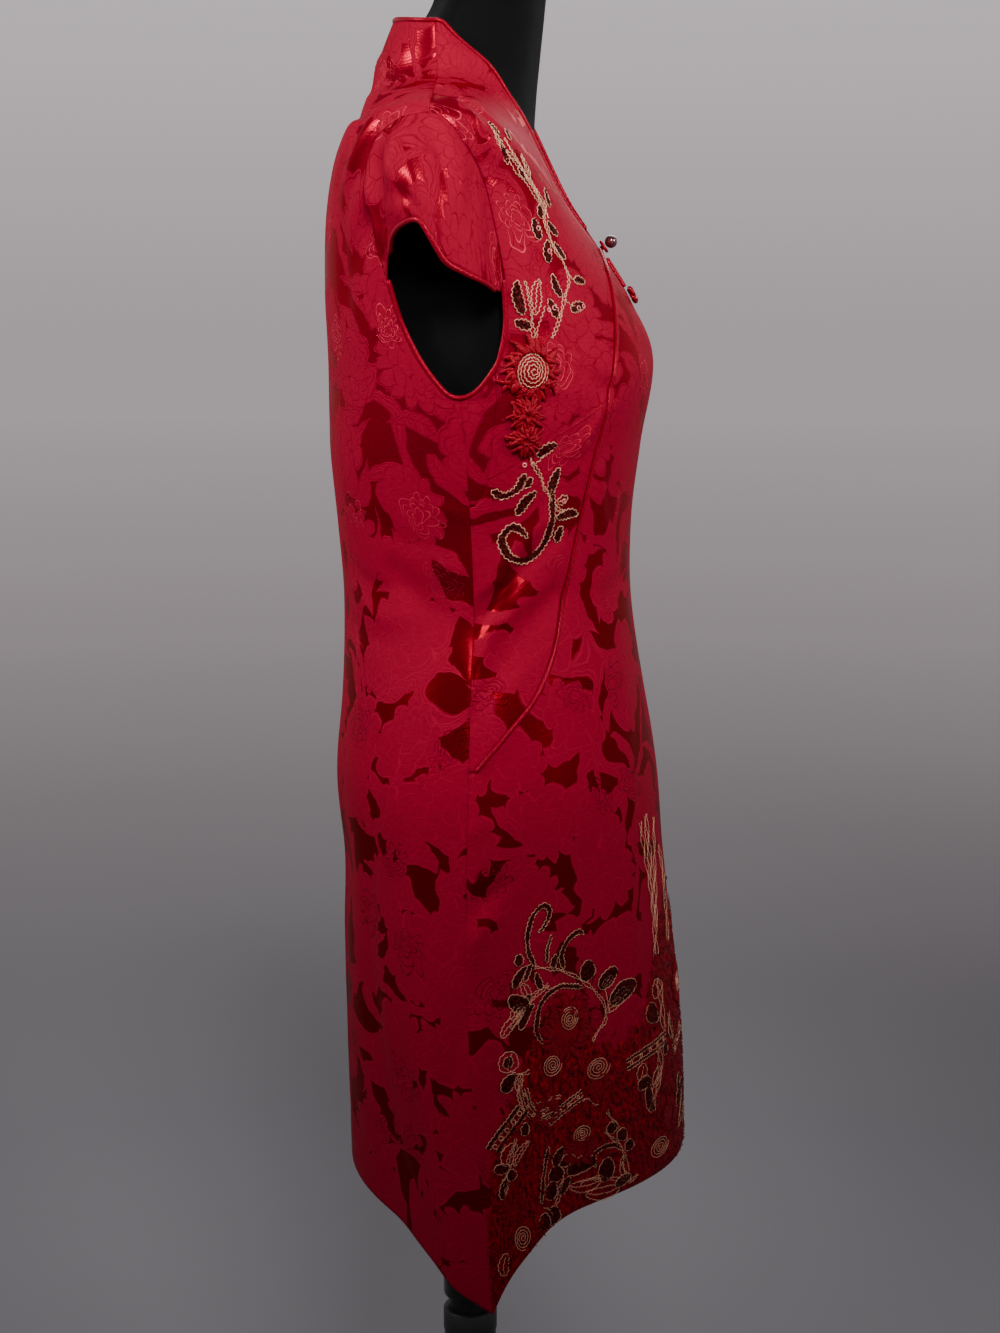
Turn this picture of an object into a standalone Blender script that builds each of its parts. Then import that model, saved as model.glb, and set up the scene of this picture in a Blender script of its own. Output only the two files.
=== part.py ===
"""Cheongsam dress of satin cloth on a limbless dress form with a pole and a round base.

Metres, +Z up. The wearer's front is +X and the wearer's right is -Y. The origin is on the floor,
under the pole. A place on the dress is a turn round the body in degrees (0 at the centre front,
90 at the right side seam, 180 at the centre back, -90 at the left side seam) and a level, which
counts the rings of DRESS_RINGS from the hem upward.
"""
import math
from collections import namedtuple

import bmesh
import bpy
from mathutils import Matrix, Vector

# Cloth, seams and trims
WALL = 0.0012
SEAM_GAP = 0.0006
SEAT_GAP = 0.0003
BLOOM_GAP = 0.0005
BINDING_RADIUS = 0.0017
HEM_PIPING_RADIUS = 0.0019
WRAP_PIPING_RADIUS = 0.0019
TRIM_SIDES = 2

# Frog fastening at the low point of the neckline
BEAD_RADIUS = 0.0048
BEAD_STAND = 0.0105
SHANK_RADIUS = 0.0023
LOOP_CORD_RADIUS = 0.0013
LOOP_RADIUS = 0.0042
TAB_WIDTH = 0.0090
TAB_THICK = 0.0022
KNOT_RADIUS = 0.0072
KNOT_HEIGHT = 0.0060

# Dress form
NECK_TOP = 1.5300
CAP_RADIUS = 0.0460
CAP_THICK = 0.0080
TORSO_FOOT = 0.8000
POLE_SLEEVE_RADIUS = 0.0220
POLE_SLEEVE_FOOT = 0.4260
LOCK_RADIUS = 0.0222
LOCK_TOP = 0.4150
LOCK_FOOT = 0.3650
POLE_RADIUS = 0.0180
BASE_RADIUS = 0.1600
BASE_THICK = 0.0120
HUB_RADIUS = 0.0300
HUB_TOP = 0.0500

Ring = namedtuple(
    "Ring",
    "front_x front_z side_x side_y side_z back_x back_z"
    " front_round back_round front_fall back_fall",
)
# From the hem to the top of the collar. A round of 1 is an oval, more is pointed at the side seam,
# less is squarer. A fall of 2 spreads the height difference evenly, more keeps it near the side.
DRESS_RINGS = [
    Ring(0.1750, 0.5680, 0.0390, 0.180, 0.500, -0.0965, 0.5570, 1.90, 1.60, 12, 4),
    Ring(0.1715, 0.6550, 0.0260, 0.181, 0.640, -0.0962, 0.6550, 1.55, 1.40, 6, 3),
    Ring(0.1625, 0.7450, 0.0200, 0.182, 0.742, -0.0962, 0.7450, 1.30, 1.20, 3, 2),
    Ring(0.1550, 0.8150, 0.0200, 0.182, 0.814, -0.0945, 0.8150, 1.15, 1.05, 2, 2),
    Ring(0.1490, 0.8800, 0.0210, 0.180, 0.880, -0.1010, 0.8800, 1.05, 0.95, 2, 2),
    Ring(0.1380, 0.9450, 0.0210, 0.166, 0.945, -0.0966, 0.9450, 1.00, 0.95, 2, 2),
    Ring(0.1282, 1.0100, 0.0220, 0.150, 1.008, -0.0955, 1.0100, 0.95, 0.95, 2, 2),
    Ring(0.1270, 1.0700, 0.0210, 0.153, 1.064, -0.0995, 1.0700, 0.90, 0.92, 2, 2),
    Ring(0.1335, 1.1300, 0.0190, 0.163, 1.118, -0.1040, 1.1280, 0.85, 0.88, 2, 2),
    Ring(0.1430, 1.1950, 0.0150, 0.172, 1.168, -0.1040, 1.1900, 0.80, 0.85, 2, 2),
    Ring(0.1250, 1.2400, 0.0030, 0.178, 1.235, -0.1050, 1.2500, 0.80, 0.82, 2, 2),
    Ring(0.0985, 1.2815, -0.0030, 0.186, 1.300, -0.1020, 1.3050, 0.80, 0.82, 2, 2),
    Ring(0.0770, 1.3130, -0.0020, 0.190, 1.360, -0.0920, 1.3420, 0.85, 0.85, 2, 2),
    Ring(0.0610, 1.3460, -0.0070, 0.134, 1.381, -0.0815, 1.3650, 0.90, 0.90, 2, 2),
    Ring(0.0500, 1.3770, -0.0120, 0.080, 1.399, -0.0735, 1.3880, 1.00, 0.95, 2, 2),
    Ring(0.0420, 1.3940, -0.0140, 0.070, 1.420, -0.0650, 1.4180, 1.00, 1.00, 2, 2),
    Ring(0.0170, 1.3950, -0.0150, 0.065, 1.437, -0.0545, 1.4445, 1.00, 1.00, 2, 2),
]
# The form under the dress, from the foot of the torso to the top of the neck.
FORM_RINGS = [
    Ring(0.1230, 0.8000, 0.0210, 0.150, 0.800, -0.0740, 0.8000, 1.00, 0.95, 2, 2),
    Ring(0.1380, 0.8350, 0.0210, 0.166, 0.835, -0.0840, 0.8350, 1.00, 0.95, 2, 2),
    Ring(0.1410, 0.8850, 0.0210, 0.172, 0.885, -0.0910, 0.8850, 1.00, 0.95, 2, 2),
    Ring(0.1270, 0.9450, 0.0210, 0.156, 0.945, -0.0860, 0.9450, 1.00, 0.95, 2, 2),
    Ring(0.1110, 1.0100, 0.0210, 0.131, 1.010, -0.0780, 1.0100, 0.95, 0.95, 2, 2),
    Ring(0.1130, 1.0700, 0.0200, 0.135, 1.066, -0.0860, 1.0700, 0.92, 0.92, 2, 2),
    Ring(0.1240, 1.1300, 0.0180, 0.150, 1.120, -0.0960, 1.1280, 0.88, 0.88, 2, 2),
    Ring(0.1360, 1.1930, 0.0140, 0.162, 1.170, -0.0990, 1.1890, 0.84, 0.88, 2, 2),
    Ring(0.1180, 1.2370, 0.0030, 0.167, 1.235, -0.1000, 1.2490, 0.84, 0.86, 2, 2),
    Ring(0.0920, 1.2770, -0.0030, 0.172, 1.298, -0.0970, 1.3030, 0.84, 0.86, 2, 2),
    Ring(0.0700, 1.3070, -0.0020, 0.174, 1.350, -0.0870, 1.3390, 0.89, 0.89, 2, 2),
    Ring(0.0560, 1.3360, -0.0070, 0.132, 1.3801, -0.0765, 1.3610, 0.95, 0.94, 2, 2),
    Ring(0.0520, 1.3600, -0.0110, 0.078, 1.3938, -0.0680, 1.3830, 1.10, 1.00, 2, 2),
    Ring(0.0530, 1.3860, -0.0100, 0.058, 1.4080, -0.0560, 1.4040, 1.05, 1.00, 2, 2),
    Ring(0.0560, 1.4180, -0.0080, 0.051, 1.4300, -0.0450, 1.4280, 1.00, 1.00, 2, 2),
    Ring(0.0595, 1.4520, 0.0000, 0.047, 1.4560, -0.0260, 1.4580, 1.00, 1.00, 2, 2),
    Ring(0.0630, 1.4900, 0.0120, 0.046, 1.4900, -0.0200, 1.4900, 1.00, 1.00, 2, 2),
    Ring(0.0650, 1.5300, 0.0240, 0.045, 1.5300, -0.0170, 1.5300, 1.00, 1.00, 2, 2),
]

Spot = namedtuple("Spot", "turn level")
# Edges of the right half. Each row starts where the one before it ends, so that the pieces on both
# sides of a seam meet at the same points.
SIDE_SEAM_LOW = [Spot(90, x) for x in (0, 0.5, 1.1, 1.7, 2.25, 2.8, 3.35, 3.9, 4.36)]
WRAP_FOOT = Spot(87.5, 4.42)
SIDE_SEAM_HIGH = [Spot(90, x) for x in (4.42, 4.92, 5.45, 5.97, 6.5, 7.02, 7.50)]
SIDE_UNDER_ARM = [Spot(90, x) for x in (7.56, 7.90, 8.30, 8.65, 9.02)]
CURVED_SEAM = [
    Spot(88.8, 7.56), Spot(85.6, 7.80), Spot(84.3, 8.25), Spot(83.2, 8.75), Spot(81.5, 9.32),
]
ARMHOLE_FRONT = [
    Spot(78.3, 9.50), Spot(74.5, 9.83), Spot(72.5, 10.25), Spot(71.5, 10.80),
    Spot(72.3, 11.30), Spot(77.5, 11.62), Spot(90.0, 12.00),
]
ARMHOLE_BACK = [
    Spot(96.5, 9.28), Spot(102.0, 9.72), Spot(105.5, 10.22), Spot(110.0, 10.70),
    Spot(113.5, 11.20), Spot(109.5, 11.70), Spot(90.0, 12.00),
]
SHOULDER_SEAM = [Spot(90, x) for x in (12.8, 13.6, 14.3, 15.1, 16.0)]
WRAP_EDGE = [
    WRAP_FOOT,
    Spot(76.5, 4.84), Spot(67.0, 5.20), Spot(60.0, 5.66), Spot(55.5, 6.20), Spot(51.5, 6.78),
    Spot(48.3, 7.30), Spot(46.0, 7.75), Spot(44.0, 8.20), Spot(42.8, 8.65), Spot(39.5, 9.12),
    Spot(34.0, 9.50), Spot(27.0, 9.92), Spot(16.5, 10.45), Spot(3.0, 10.88),
]
NECK_EDGE = [
    Spot(5.8, 11.35), Spot(8.8, 11.95), Spot(12.5, 12.55), Spot(20.0, 13.20),
    Spot(34.0, 13.90), Spot(47.0, 14.60), Spot(60.0, 15.30), Spot(71.0, 15.72), Spot(80.0, 16.00),
]

Fold = namedtuple("Fold", "turn_a level_a turn_b level_b width height")
# The largest soft folds of the hanging cloth: a ridge is above zero and a trough below it.
FOLDS = [
    Fold(58, 6.35, 89, 5.35, 0.020, -0.0035),
    Fold(66, 0.0, 72, 2.6, 0.030, 0.0040),
    Fold(112, 0.0, 107, 3.0, 0.032, 0.0045),
    Fold(136, 0.0, 140, 2.2, 0.034, -0.0035),
    Fold(98, 11.8, 128, 10.6, 0.020, 0.0035),
    Fold(104, 11.3, 132, 9.8, 0.018, -0.0025),
    Fold(118, 6.6, 92, 5.9, 0.022, -0.0030),
]
TURN_METRES = 0.0029
LEVEL_METRES = 0.065

SleeveHem = namedtuple("SleeveHem", "x y z")
# Free edge of the right cap sleeve, from its front end to its back end.
SLEEVE_HEM = [
    SleeveHem(0.0440, -0.1790, 1.2420), SleeveHem(0.0360, -0.1980, 1.2490),
    SleeveHem(0.0240, -0.2110, 1.2550), SleeveHem(0.0125, -0.2195, 1.2620),
    SleeveHem(0.0030, -0.2236, 1.2770), SleeveHem(-0.0060, -0.2215, 1.2885),
    SleeveHem(-0.0180, -0.2105, 1.2870), SleeveHem(-0.0280, -0.1950, 1.2790),
    SleeveHem(-0.0325, -0.1800, 1.2620),
]
SLEEVE_CROWN = 0.0150
SLEEVE_RISE = 0.0080
SLEEVE_STEPS = 5

Bloom = namedtuple("Bloom", "name turn level radius petals height")
# Ribbon flowers sewn on the right chest and along the front of the hem.
BLOOMS = [
    Bloom("chest_bloom", 70.0, 9.20, 0.0205, 8, 0.0045),
    Bloom("chest_bud_upper", 73.0, 8.63, 0.0085, 6, 0.0035),
    Bloom("chest_bud_lower", 73.5, 8.28, 0.0080, 6, 0.0035),
    Bloom("hem_bloom_main", 55.0, 1.62, 0.0225, 8, 0.0045),
    Bloom("hem_bloom_side", 60.5, 1.02, 0.0125, 6, 0.0035),
    Bloom("hem_bloom_mid", 45.0, 1.10, 0.0125, 6, 0.0035),
    Bloom("hem_bloom_low", 50.0, 0.58, 0.0145, 6, 0.0035),
    Bloom("hem_bloom_corner", 72.0, 0.45, 0.0120, 6, 0.0035),
    Bloom("hem_bloom_front", 17.0, 0.50, 0.0150, 6, 0.0035),
    Bloom("hem_bloom_centre", 4.0, 1.55, 0.0180, 7, 0.0040),
    Bloom("hem_bloom_left", -22.0, 0.85, 0.0200, 7, 0.0040),
    Bloom("hem_bloom_left_low", -40.0, 0.50, 0.0140, 6, 0.0035),
]

MAIN_COLUMNS = 22
UNDER_COLUMNS = 9
INSERT_COLUMNS = 2
BACK_COLUMNS = 22
FORM_COLUMNS = 28


def ring_at(rings, level):
    """The ring at any level, on a smooth curve through the rows of the table."""
    level = min(max(level, 0.0), len(rings) - 1.0)
    low = min(int(level), len(rings) - 2)
    t = level - low
    a, b = rings[low], rings[low + 1]
    before = rings[max(low - 1, 0)]
    after = rings[min(low + 2, len(rings) - 1)]
    values = []
    for p, q, r, s in zip(before, a, b, after):
        slope_q = (r - p) / 2 if low > 0 else r - q
        slope_r = (s - q) / 2 if low + 2 < len(rings) else r - q
        values.append(
            (2 * t**3 - 3 * t**2 + 1) * q + (t**3 - 2 * t**2 + t) * slope_q
            + (3 * t**2 - 2 * t**3) * r + (t**3 - t**2) * slope_r
        )
    return Ring(*values)


def point_on(rings, turn, level):
    """A point of the plain surface through the rings."""
    ring = ring_at(rings, level)
    ahead, aside = math.cos(math.radians(turn)), math.sin(math.radians(turn))
    if ahead >= 0:
        end_x, end_z, power, fall = ring.front_x, ring.front_z, ring.front_round, ring.front_fall
    else:
        end_x, end_z, power, fall = ring.back_x, ring.back_z, ring.back_round, ring.back_fall
    return Vector((
        ring.side_x + (end_x - ring.side_x) * abs(ahead) ** power,
        -ring.side_y * aside,
        ring.side_z + (end_z - ring.side_z) * (1 - abs(aside) ** fall),
    ))


def normal_on(rings, turn, level):
    """The outward direction of the plain surface."""
    step_turn, step_level = 0.4, 0.02
    level = min(max(level, step_level), len(rings) - 1 - step_level)
    round_it = point_on(rings, turn + step_turn, level) - point_on(rings, turn - step_turn, level)
    upward = point_on(rings, turn, level + step_level) - point_on(rings, turn, level - step_level)
    return upward.cross(round_it).normalized()


def fold_height(turn, level):
    """How far the soft folds lift the cloth there, the same on both sides of the body."""
    turn = abs((turn + 180) % 360 - 180)
    height = 0.0
    for fold in FOLDS:
        along = Vector((
            (fold.turn_b - fold.turn_a) * TURN_METRES, (fold.level_b - fold.level_a) * LEVEL_METRES,
        ))
        place = Vector((
            (turn - fold.turn_a) * TURN_METRES, (level - fold.level_a) * LEVEL_METRES,
        ))
        share = place.dot(along) / along.length_squared
        inside = min(max(share, 0.0), 1.0)
        away = (place - along * inside).length / fold.width
        fade = 1.0 if fold.level_a <= 0 and share < 0 else math.cos(math.pi / 2 * inside * 0.9)
        height += fold.height * fade * math.exp(-2.0 * away * away)
    return height


def cloth(spot, depth=0.0):
    """A point of the dress at a spot, at a depth below its outer face (above it if negative)."""
    normal = normal_on(DRESS_RINGS, spot.turn, spot.level)
    lift = fold_height(spot.turn, spot.level)
    return point_on(DRESS_RINGS, spot.turn, spot.level) + normal * (lift - depth)


def inner_row(spots, start, end):
    """The inside of a wall under a row of spots, mitred at the seams where the row starts and ends."""
    points = [cloth(spot, WALL) for spot in spots]
    points[0] = cloth(spots[0]) - normal_on(DRESS_RINGS, start.turn, start.level) * WALL
    points[-1] = cloth(spots[-1]) - normal_on(DRESS_RINGS, end.turn, end.level) * WALL
    return points


def mirrored(spots):
    """The same edge on the left half."""
    return [Spot(-spot.turn, spot.level) for spot in spots]


def between(start, end, share):
    """The spot part of the way from one spot to another."""
    return Spot(
        start.turn + (end.turn - start.turn) * share,
        start.level + (end.level - start.level) * share,
    )


def row_of_spots(start, end, columns):
    """Spots at even lengths from edge to edge, both ends drawn in by half the seam gap."""
    samples = 12 * columns
    shares = [index / samples for index in range(samples + 1)]
    places = [point_on(DRESS_RINGS, *between(start, end, share)) for share in shares]
    lengths = [0.0]
    for here, there in zip(places, places[1:]):
        lengths.append(lengths[-1] + (there - here).length)
    inset = min(SEAM_GAP / 2, lengths[-1] * 0.2)
    spots, index = [], 0
    for column in range(columns + 1):
        wanted = inset + (lengths[-1] - 2 * inset) * column / columns
        while index < samples - 1 and lengths[index + 1] < wanted:
            index += 1
        part = (wanted - lengths[index]) / (lengths[index + 1] - lengths[index])
        spots.append(between(start, end, shares[index] + part / samples))
    return spots


def new_object(name, mesh, material, collection):
    """An object for a finished mesh, shaded smooth but for its sharp rims."""
    mesh.shade_smooth()
    mesh.set_sharp_from_angle(angle=math.radians(50))
    piece = bpy.data.objects.new(name, mesh)
    piece.data.materials.append(material)
    collection.objects.link(piece)
    return piece


def finish_material(name, colour, roughness, metallic=0.0, sheen=0.0):
    """A Principled material with a plain colour."""
    material = bpy.data.materials.new(name)
    material.use_nodes = True
    shader = material.node_tree.nodes["Principled BSDF"]
    shader.inputs["Base Color"].default_value = (*colour, 1)
    shader.inputs["Roughness"].default_value = roughness
    shader.inputs["Metallic"].default_value = metallic
    shader.inputs["Sheen Weight"].default_value = sheen
    return material


def wall_mesh(name, outer, inner):
    """A closed wall between two grids of points with the same rows and columns."""
    shape = bmesh.new()
    rows, columns = len(outer), len(outer[0])
    front = [[shape.verts.new(point) for point in row] for row in outer]
    rear = [[shape.verts.new(point) for point in row] for row in inner]
    for i in range(rows - 1):
        for j in range(columns - 1):
            shape.faces.new((front[i][j], front[i][j + 1], front[i + 1][j + 1], front[i + 1][j]))
            shape.faces.new((rear[i][j], rear[i + 1][j], rear[i + 1][j + 1], rear[i][j + 1]))
    rim = [(0, j) for j in range(columns)]
    rim += [(i, columns - 1) for i in range(1, rows)]
    rim += [(rows - 1, j) for j in range(columns - 2, -1, -1)]
    rim += [(i, 0) for i in range(rows - 2, 0, -1)]
    for here, there in zip(rim, rim[1:] + rim[:1]):
        shape.faces.new((
            front[here[0]][here[1]], rear[here[0]][here[1]],
            rear[there[0]][there[1]], front[there[0]][there[1]],
        ))
    bmesh.ops.triangulate(shape, faces=shape.faces[:])
    bmesh.ops.recalc_face_normals(shape, faces=shape.faces[:])
    mesh = bpy.data.meshes.new(name)
    shape.to_mesh(mesh)
    shape.free()
    return mesh


def panel(name, start_edge, end_edge, columns, material, collection):
    """A cut piece of the dress between two edges, as a wall of the cloth's thickness."""
    spots = [row_of_spots(a, b, columns) for a, b in zip(start_edge, end_edge)]
    outer = [[cloth(spot) for spot in row] for row in spots]
    inner = [inner_row(row, a, b) for row, a, b in zip(spots, start_edge, end_edge)]
    return new_object(name, wall_mesh(name, outer, inner), material, collection)


def sleeve_rows():
    """The right cap sleeve's outer points, a row from the armhole seam to the free edge for each place."""
    seam = ARMHOLE_FRONT[2:] + ARMHOLE_BACK[-2:1:-1]
    rows = []
    for index, spot in enumerate(seam):
        seam_point = cloth(spot)
        hem_point = Vector(SLEEVE_HEM[index])
        crown = math.sin(math.pi * index / (len(seam) - 1))
        middle = (seam_point + hem_point) / 2
        middle += Vector((0, -SLEEVE_CROWN * crown, SLEEVE_RISE * crown))
        start = SEAM_GAP / (hem_point - seam_point).length
        row = []
        for step in range(SLEEVE_STEPS + 1):
            t = start + (1 - start) * step / SLEEVE_STEPS
            row.append(seam_point * (1 - t) ** 2 + middle * 2 * t * (1 - t) + hem_point * t * t)
        rows.append(row)
    return rows


def sleeve(name, side, material, collection):
    """A cap sleeve with its wall drawn inward. The side is 1 for the right and -1 for the left."""
    rows = sleeve_rows()
    inner = []
    for i, row in enumerate(rows):
        above, below = rows[max(i - 1, 0)], rows[min(i + 1, len(rows) - 1)]
        line = []
        for j, point in enumerate(row):
            across = row[min(j + 1, SLEEVE_STEPS)] - row[max(j - 1, 0)]
            along = below[j] - above[j]
            line.append(point - across.cross(along).normalized() * WALL)
        inner.append(line)
    flip = Vector((1, side, 1))
    outer = [[point * flip for point in row] for row in rows]
    inner = [[point * flip for point in row] for row in inner]
    return new_object(name, wall_mesh(name, outer, inner), material, collection)


def trim(name, points, radius, material, collection, closed=False):
    """A round cord or rolled binding through the points, as a mesh with closed ends."""
    curve = bpy.data.curves.new(name, "CURVE")
    curve.dimensions = "3D"
    curve.bevel_depth = radius
    curve.bevel_resolution = TRIM_SIDES
    curve.use_fill_caps = True
    spline = curve.splines.new("POLY")
    spline.points.add(len(points) - 1)
    for knot, point in zip(spline.points, points):
        knot.co = (*point, 1)
    spline.use_cyclic_u = closed
    piece = bpy.data.objects.new(name, curve)
    curve.materials.append(material)
    collection.objects.link(piece)
    return piece


def beside_line(points, normals, clearance, side):
    """A line beside another in the surface that it lies on, to its left (1) or right (-1)."""
    moved = []
    for index, (point, normal) in enumerate(zip(points, normals)):
        before, after = points[max(index - 1, 0)], points[min(index + 1, len(points) - 1)]
        moved.append(point + normal.cross(after - before).normalized() * side * clearance)
    return moved


def beside_edge(spots, clearance, side):
    """A line beside an edge of the dress, level with the middle of its wall."""
    points = [cloth(spot, WALL / 2) for spot in spots]
    normals = [normal_on(DRESS_RINGS, spot.turn, spot.level) for spot in spots]
    return beside_line(points, normals, clearance, side)


def surface_spot(centre, away, angle):
    """The spot at a distance and an angle from another, in metres measured on the cloth."""
    step = 0.01
    across = (cloth(Spot(centre.turn + step, centre.level)) - cloth(centre)).length / step
    upward = (cloth(Spot(centre.turn, centre.level + step)) - cloth(centre)).length / step
    return Spot(
        centre.turn + away * math.cos(angle) / across,
        centre.level + away * math.sin(angle) / upward,
    )


def bloom(entry, material, collection):
    """A gathered ribbon flower: a domed disc with lobed petals that follows the cloth."""
    centre = Spot(entry.turn, entry.level)
    around = entry.petals * 3
    shape = bmesh.new()

    def circle(share, height):
        """A ring of points over the cloth, higher and wider at each petal."""
        points = []
        for step in range(around):
            angle = 2 * math.pi * step / around
            lobe = abs(math.cos(entry.petals * angle / 2))
            reach = entry.radius * share * (1 - 0.16 * (1 - lobe) * share)
            rise = entry.height * height * (0.70 + 0.30 * lobe)
            spot = surface_spot(centre, reach, angle)
            points.append(shape.verts.new(cloth(spot, -BLOOM_GAP - rise)))
        return points

    top_centre = shape.verts.new(cloth(centre, -BLOOM_GAP - entry.height * 0.75))
    foot_centre = shape.verts.new(cloth(centre, -BLOOM_GAP))
    rings = [circle(0.34, 1.0), circle(0.72, 0.8), circle(1.0, 0.5), circle(1.0, 0.0), circle(0.6, 0.0)]
    for step in range(around):
        following = (step + 1) % around
        shape.faces.new((top_centre, rings[0][step], rings[0][following]))
        for low, high in zip(rings, rings[1:]):
            shape.faces.new((low[step], high[step], high[following], low[following]))
        shape.faces.new((foot_centre, rings[-1][following], rings[-1][step]))
    bmesh.ops.triangulate(shape, faces=shape.faces[:])
    bmesh.ops.recalc_face_normals(shape, faces=shape.faces[:])
    mesh = bpy.data.meshes.new(entry.name)
    shape.to_mesh(mesh)
    shape.free()
    return new_object(entry.name, mesh, material, collection)


def turned(name, profile, centre, material, collection, steps=40):
    """A turned piece: a profile of (radius, height) from top to bottom, spun about the pole."""
    mesh = bpy.data.meshes.new(name)
    points = [(radius, 0, height) for radius, height in profile]
    mesh.from_pydata(points, [(i, i + 1) for i in range(len(profile) - 1)], [])
    piece = bpy.data.objects.new(name, mesh)
    piece.location = centre
    mesh.materials.append(material)
    collection.objects.link(piece)
    screw = piece.modifiers.new("spin", "SCREW")
    screw.angle = 2 * math.pi
    screw.steps = steps
    screw.render_steps = steps
    screw.use_merge_vertices = True
    screw.merge_threshold = 0.00005
    screw.use_smooth_shade = True
    return piece


def form_torso(material, collection):
    """The padded torso with its neck, closed at the foot and at the top of the neck."""
    levels = [0.0, 0.5, 1.2, 2.0, 2.8, 3.6, 4.4, 5.2, 6.0, 6.8, 7.6, 8.4, 9.2, 9.7]
    levels += [10.0, 10.3, 10.7, 11.0, 11.5, 12.0, 12.6, 13.3, 14.0, 15.0, 16.0, 17.0]
    shape = bmesh.new()
    rings = []
    for level in levels:
        rings.append([
            shape.verts.new(point_on(FORM_RINGS, 360.0 * step / FORM_COLUMNS, level))
            for step in range(FORM_COLUMNS)
        ])
    for low, high in zip(rings, rings[1:]):
        for step in range(FORM_COLUMNS):
            following = (step + 1) % FORM_COLUMNS
            shape.faces.new((low[step], low[following], high[following], high[step]))
    shape.faces.new(rings[0])
    shape.faces.new(rings[-1])
    bmesh.ops.triangulate(shape, faces=shape.faces[:])
    bmesh.ops.recalc_face_normals(shape, faces=shape.faces[:])
    mesh = bpy.data.meshes.new("form_torso")
    shape.to_mesh(mesh)
    shape.free()
    return new_object("form_torso", mesh, material, collection)


def stand(black_metal, black_plastic, collection):
    """The pole with its sleeve and locking collar, the round base, and the cap of the neck."""
    gap = SEAT_GAP
    turned("pole_sleeve", [
        (0, TORSO_FOOT - gap), (POLE_SLEEVE_RADIUS, TORSO_FOOT - gap),
        (POLE_SLEEVE_RADIUS, POLE_SLEEVE_FOOT + 0.001), (POLE_SLEEVE_RADIUS - 0.001, POLE_SLEEVE_FOOT),
        (0, POLE_SLEEVE_FOOT),
    ], (0, 0, 0), black_metal, collection, 28)
    turned("pole", [
        (0, POLE_SLEEVE_FOOT - gap), (POLE_RADIUS, POLE_SLEEVE_FOOT - gap), (POLE_RADIUS, LOCK_TOP + gap),
        (0, LOCK_TOP + gap),
    ], (0, 0, 0), black_metal, collection, 28)
    turned("lock_collar", [
        (0, LOCK_TOP), (LOCK_RADIUS - 0.002, LOCK_TOP), (LOCK_RADIUS, LOCK_TOP - 0.002),
        (LOCK_RADIUS, LOCK_FOOT + 0.002), (LOCK_RADIUS - 0.002, LOCK_FOOT), (0, LOCK_FOOT),
    ], (0, 0, 0), black_plastic, collection, 28)
    turned("pole_lower", [
        (0, LOCK_FOOT - gap), (POLE_RADIUS, LOCK_FOOT - gap), (POLE_RADIUS, HUB_TOP + gap),
        (0, HUB_TOP + gap),
    ], (0, 0, 0), black_metal, collection, 28)
    turned("base_hub", [
        (0, HUB_TOP), (HUB_RADIUS * 0.8, HUB_TOP), (HUB_RADIUS * 0.85, HUB_TOP - 0.004),
        (HUB_RADIUS, BASE_THICK + 0.010), (HUB_RADIUS * 1.15, BASE_THICK + gap),
        (0, BASE_THICK + gap),
    ], (0, 0, 0), black_plastic, collection, 28)
    turned("round_base", [
        (0, BASE_THICK), (BASE_RADIUS - 0.006, BASE_THICK), (BASE_RADIUS - 0.002, BASE_THICK - 0.002),
        (BASE_RADIUS, BASE_THICK - 0.006), (BASE_RADIUS, 0.001), (BASE_RADIUS - 0.001, 0.0), (0, 0.0),
    ], (0, 0, 0), black_metal, collection, 36)
    top = FORM_RINGS[-1]
    turned("neck_cap", [
        (0, CAP_THICK), (CAP_RADIUS * 0.86, CAP_THICK), (CAP_RADIUS * 0.97, CAP_THICK * 0.75),
        (CAP_RADIUS, CAP_THICK * 0.4), (CAP_RADIUS, 0.0), (0, 0.0),
    ], ((top.front_x + top.back_x) / 2, 0, NECK_TOP + gap), black_plastic, collection, 28)


def oriented(place, outward, upward):
    """A matrix at a place whose Z points outward and whose Y leans upward."""
    z = outward.normalized()
    x = upward.cross(z).normalized()
    y = z.cross(x)
    turn = Matrix((x, y, z)).transposed().to_4x4()
    return Matrix.Translation(place) @ turn


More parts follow.
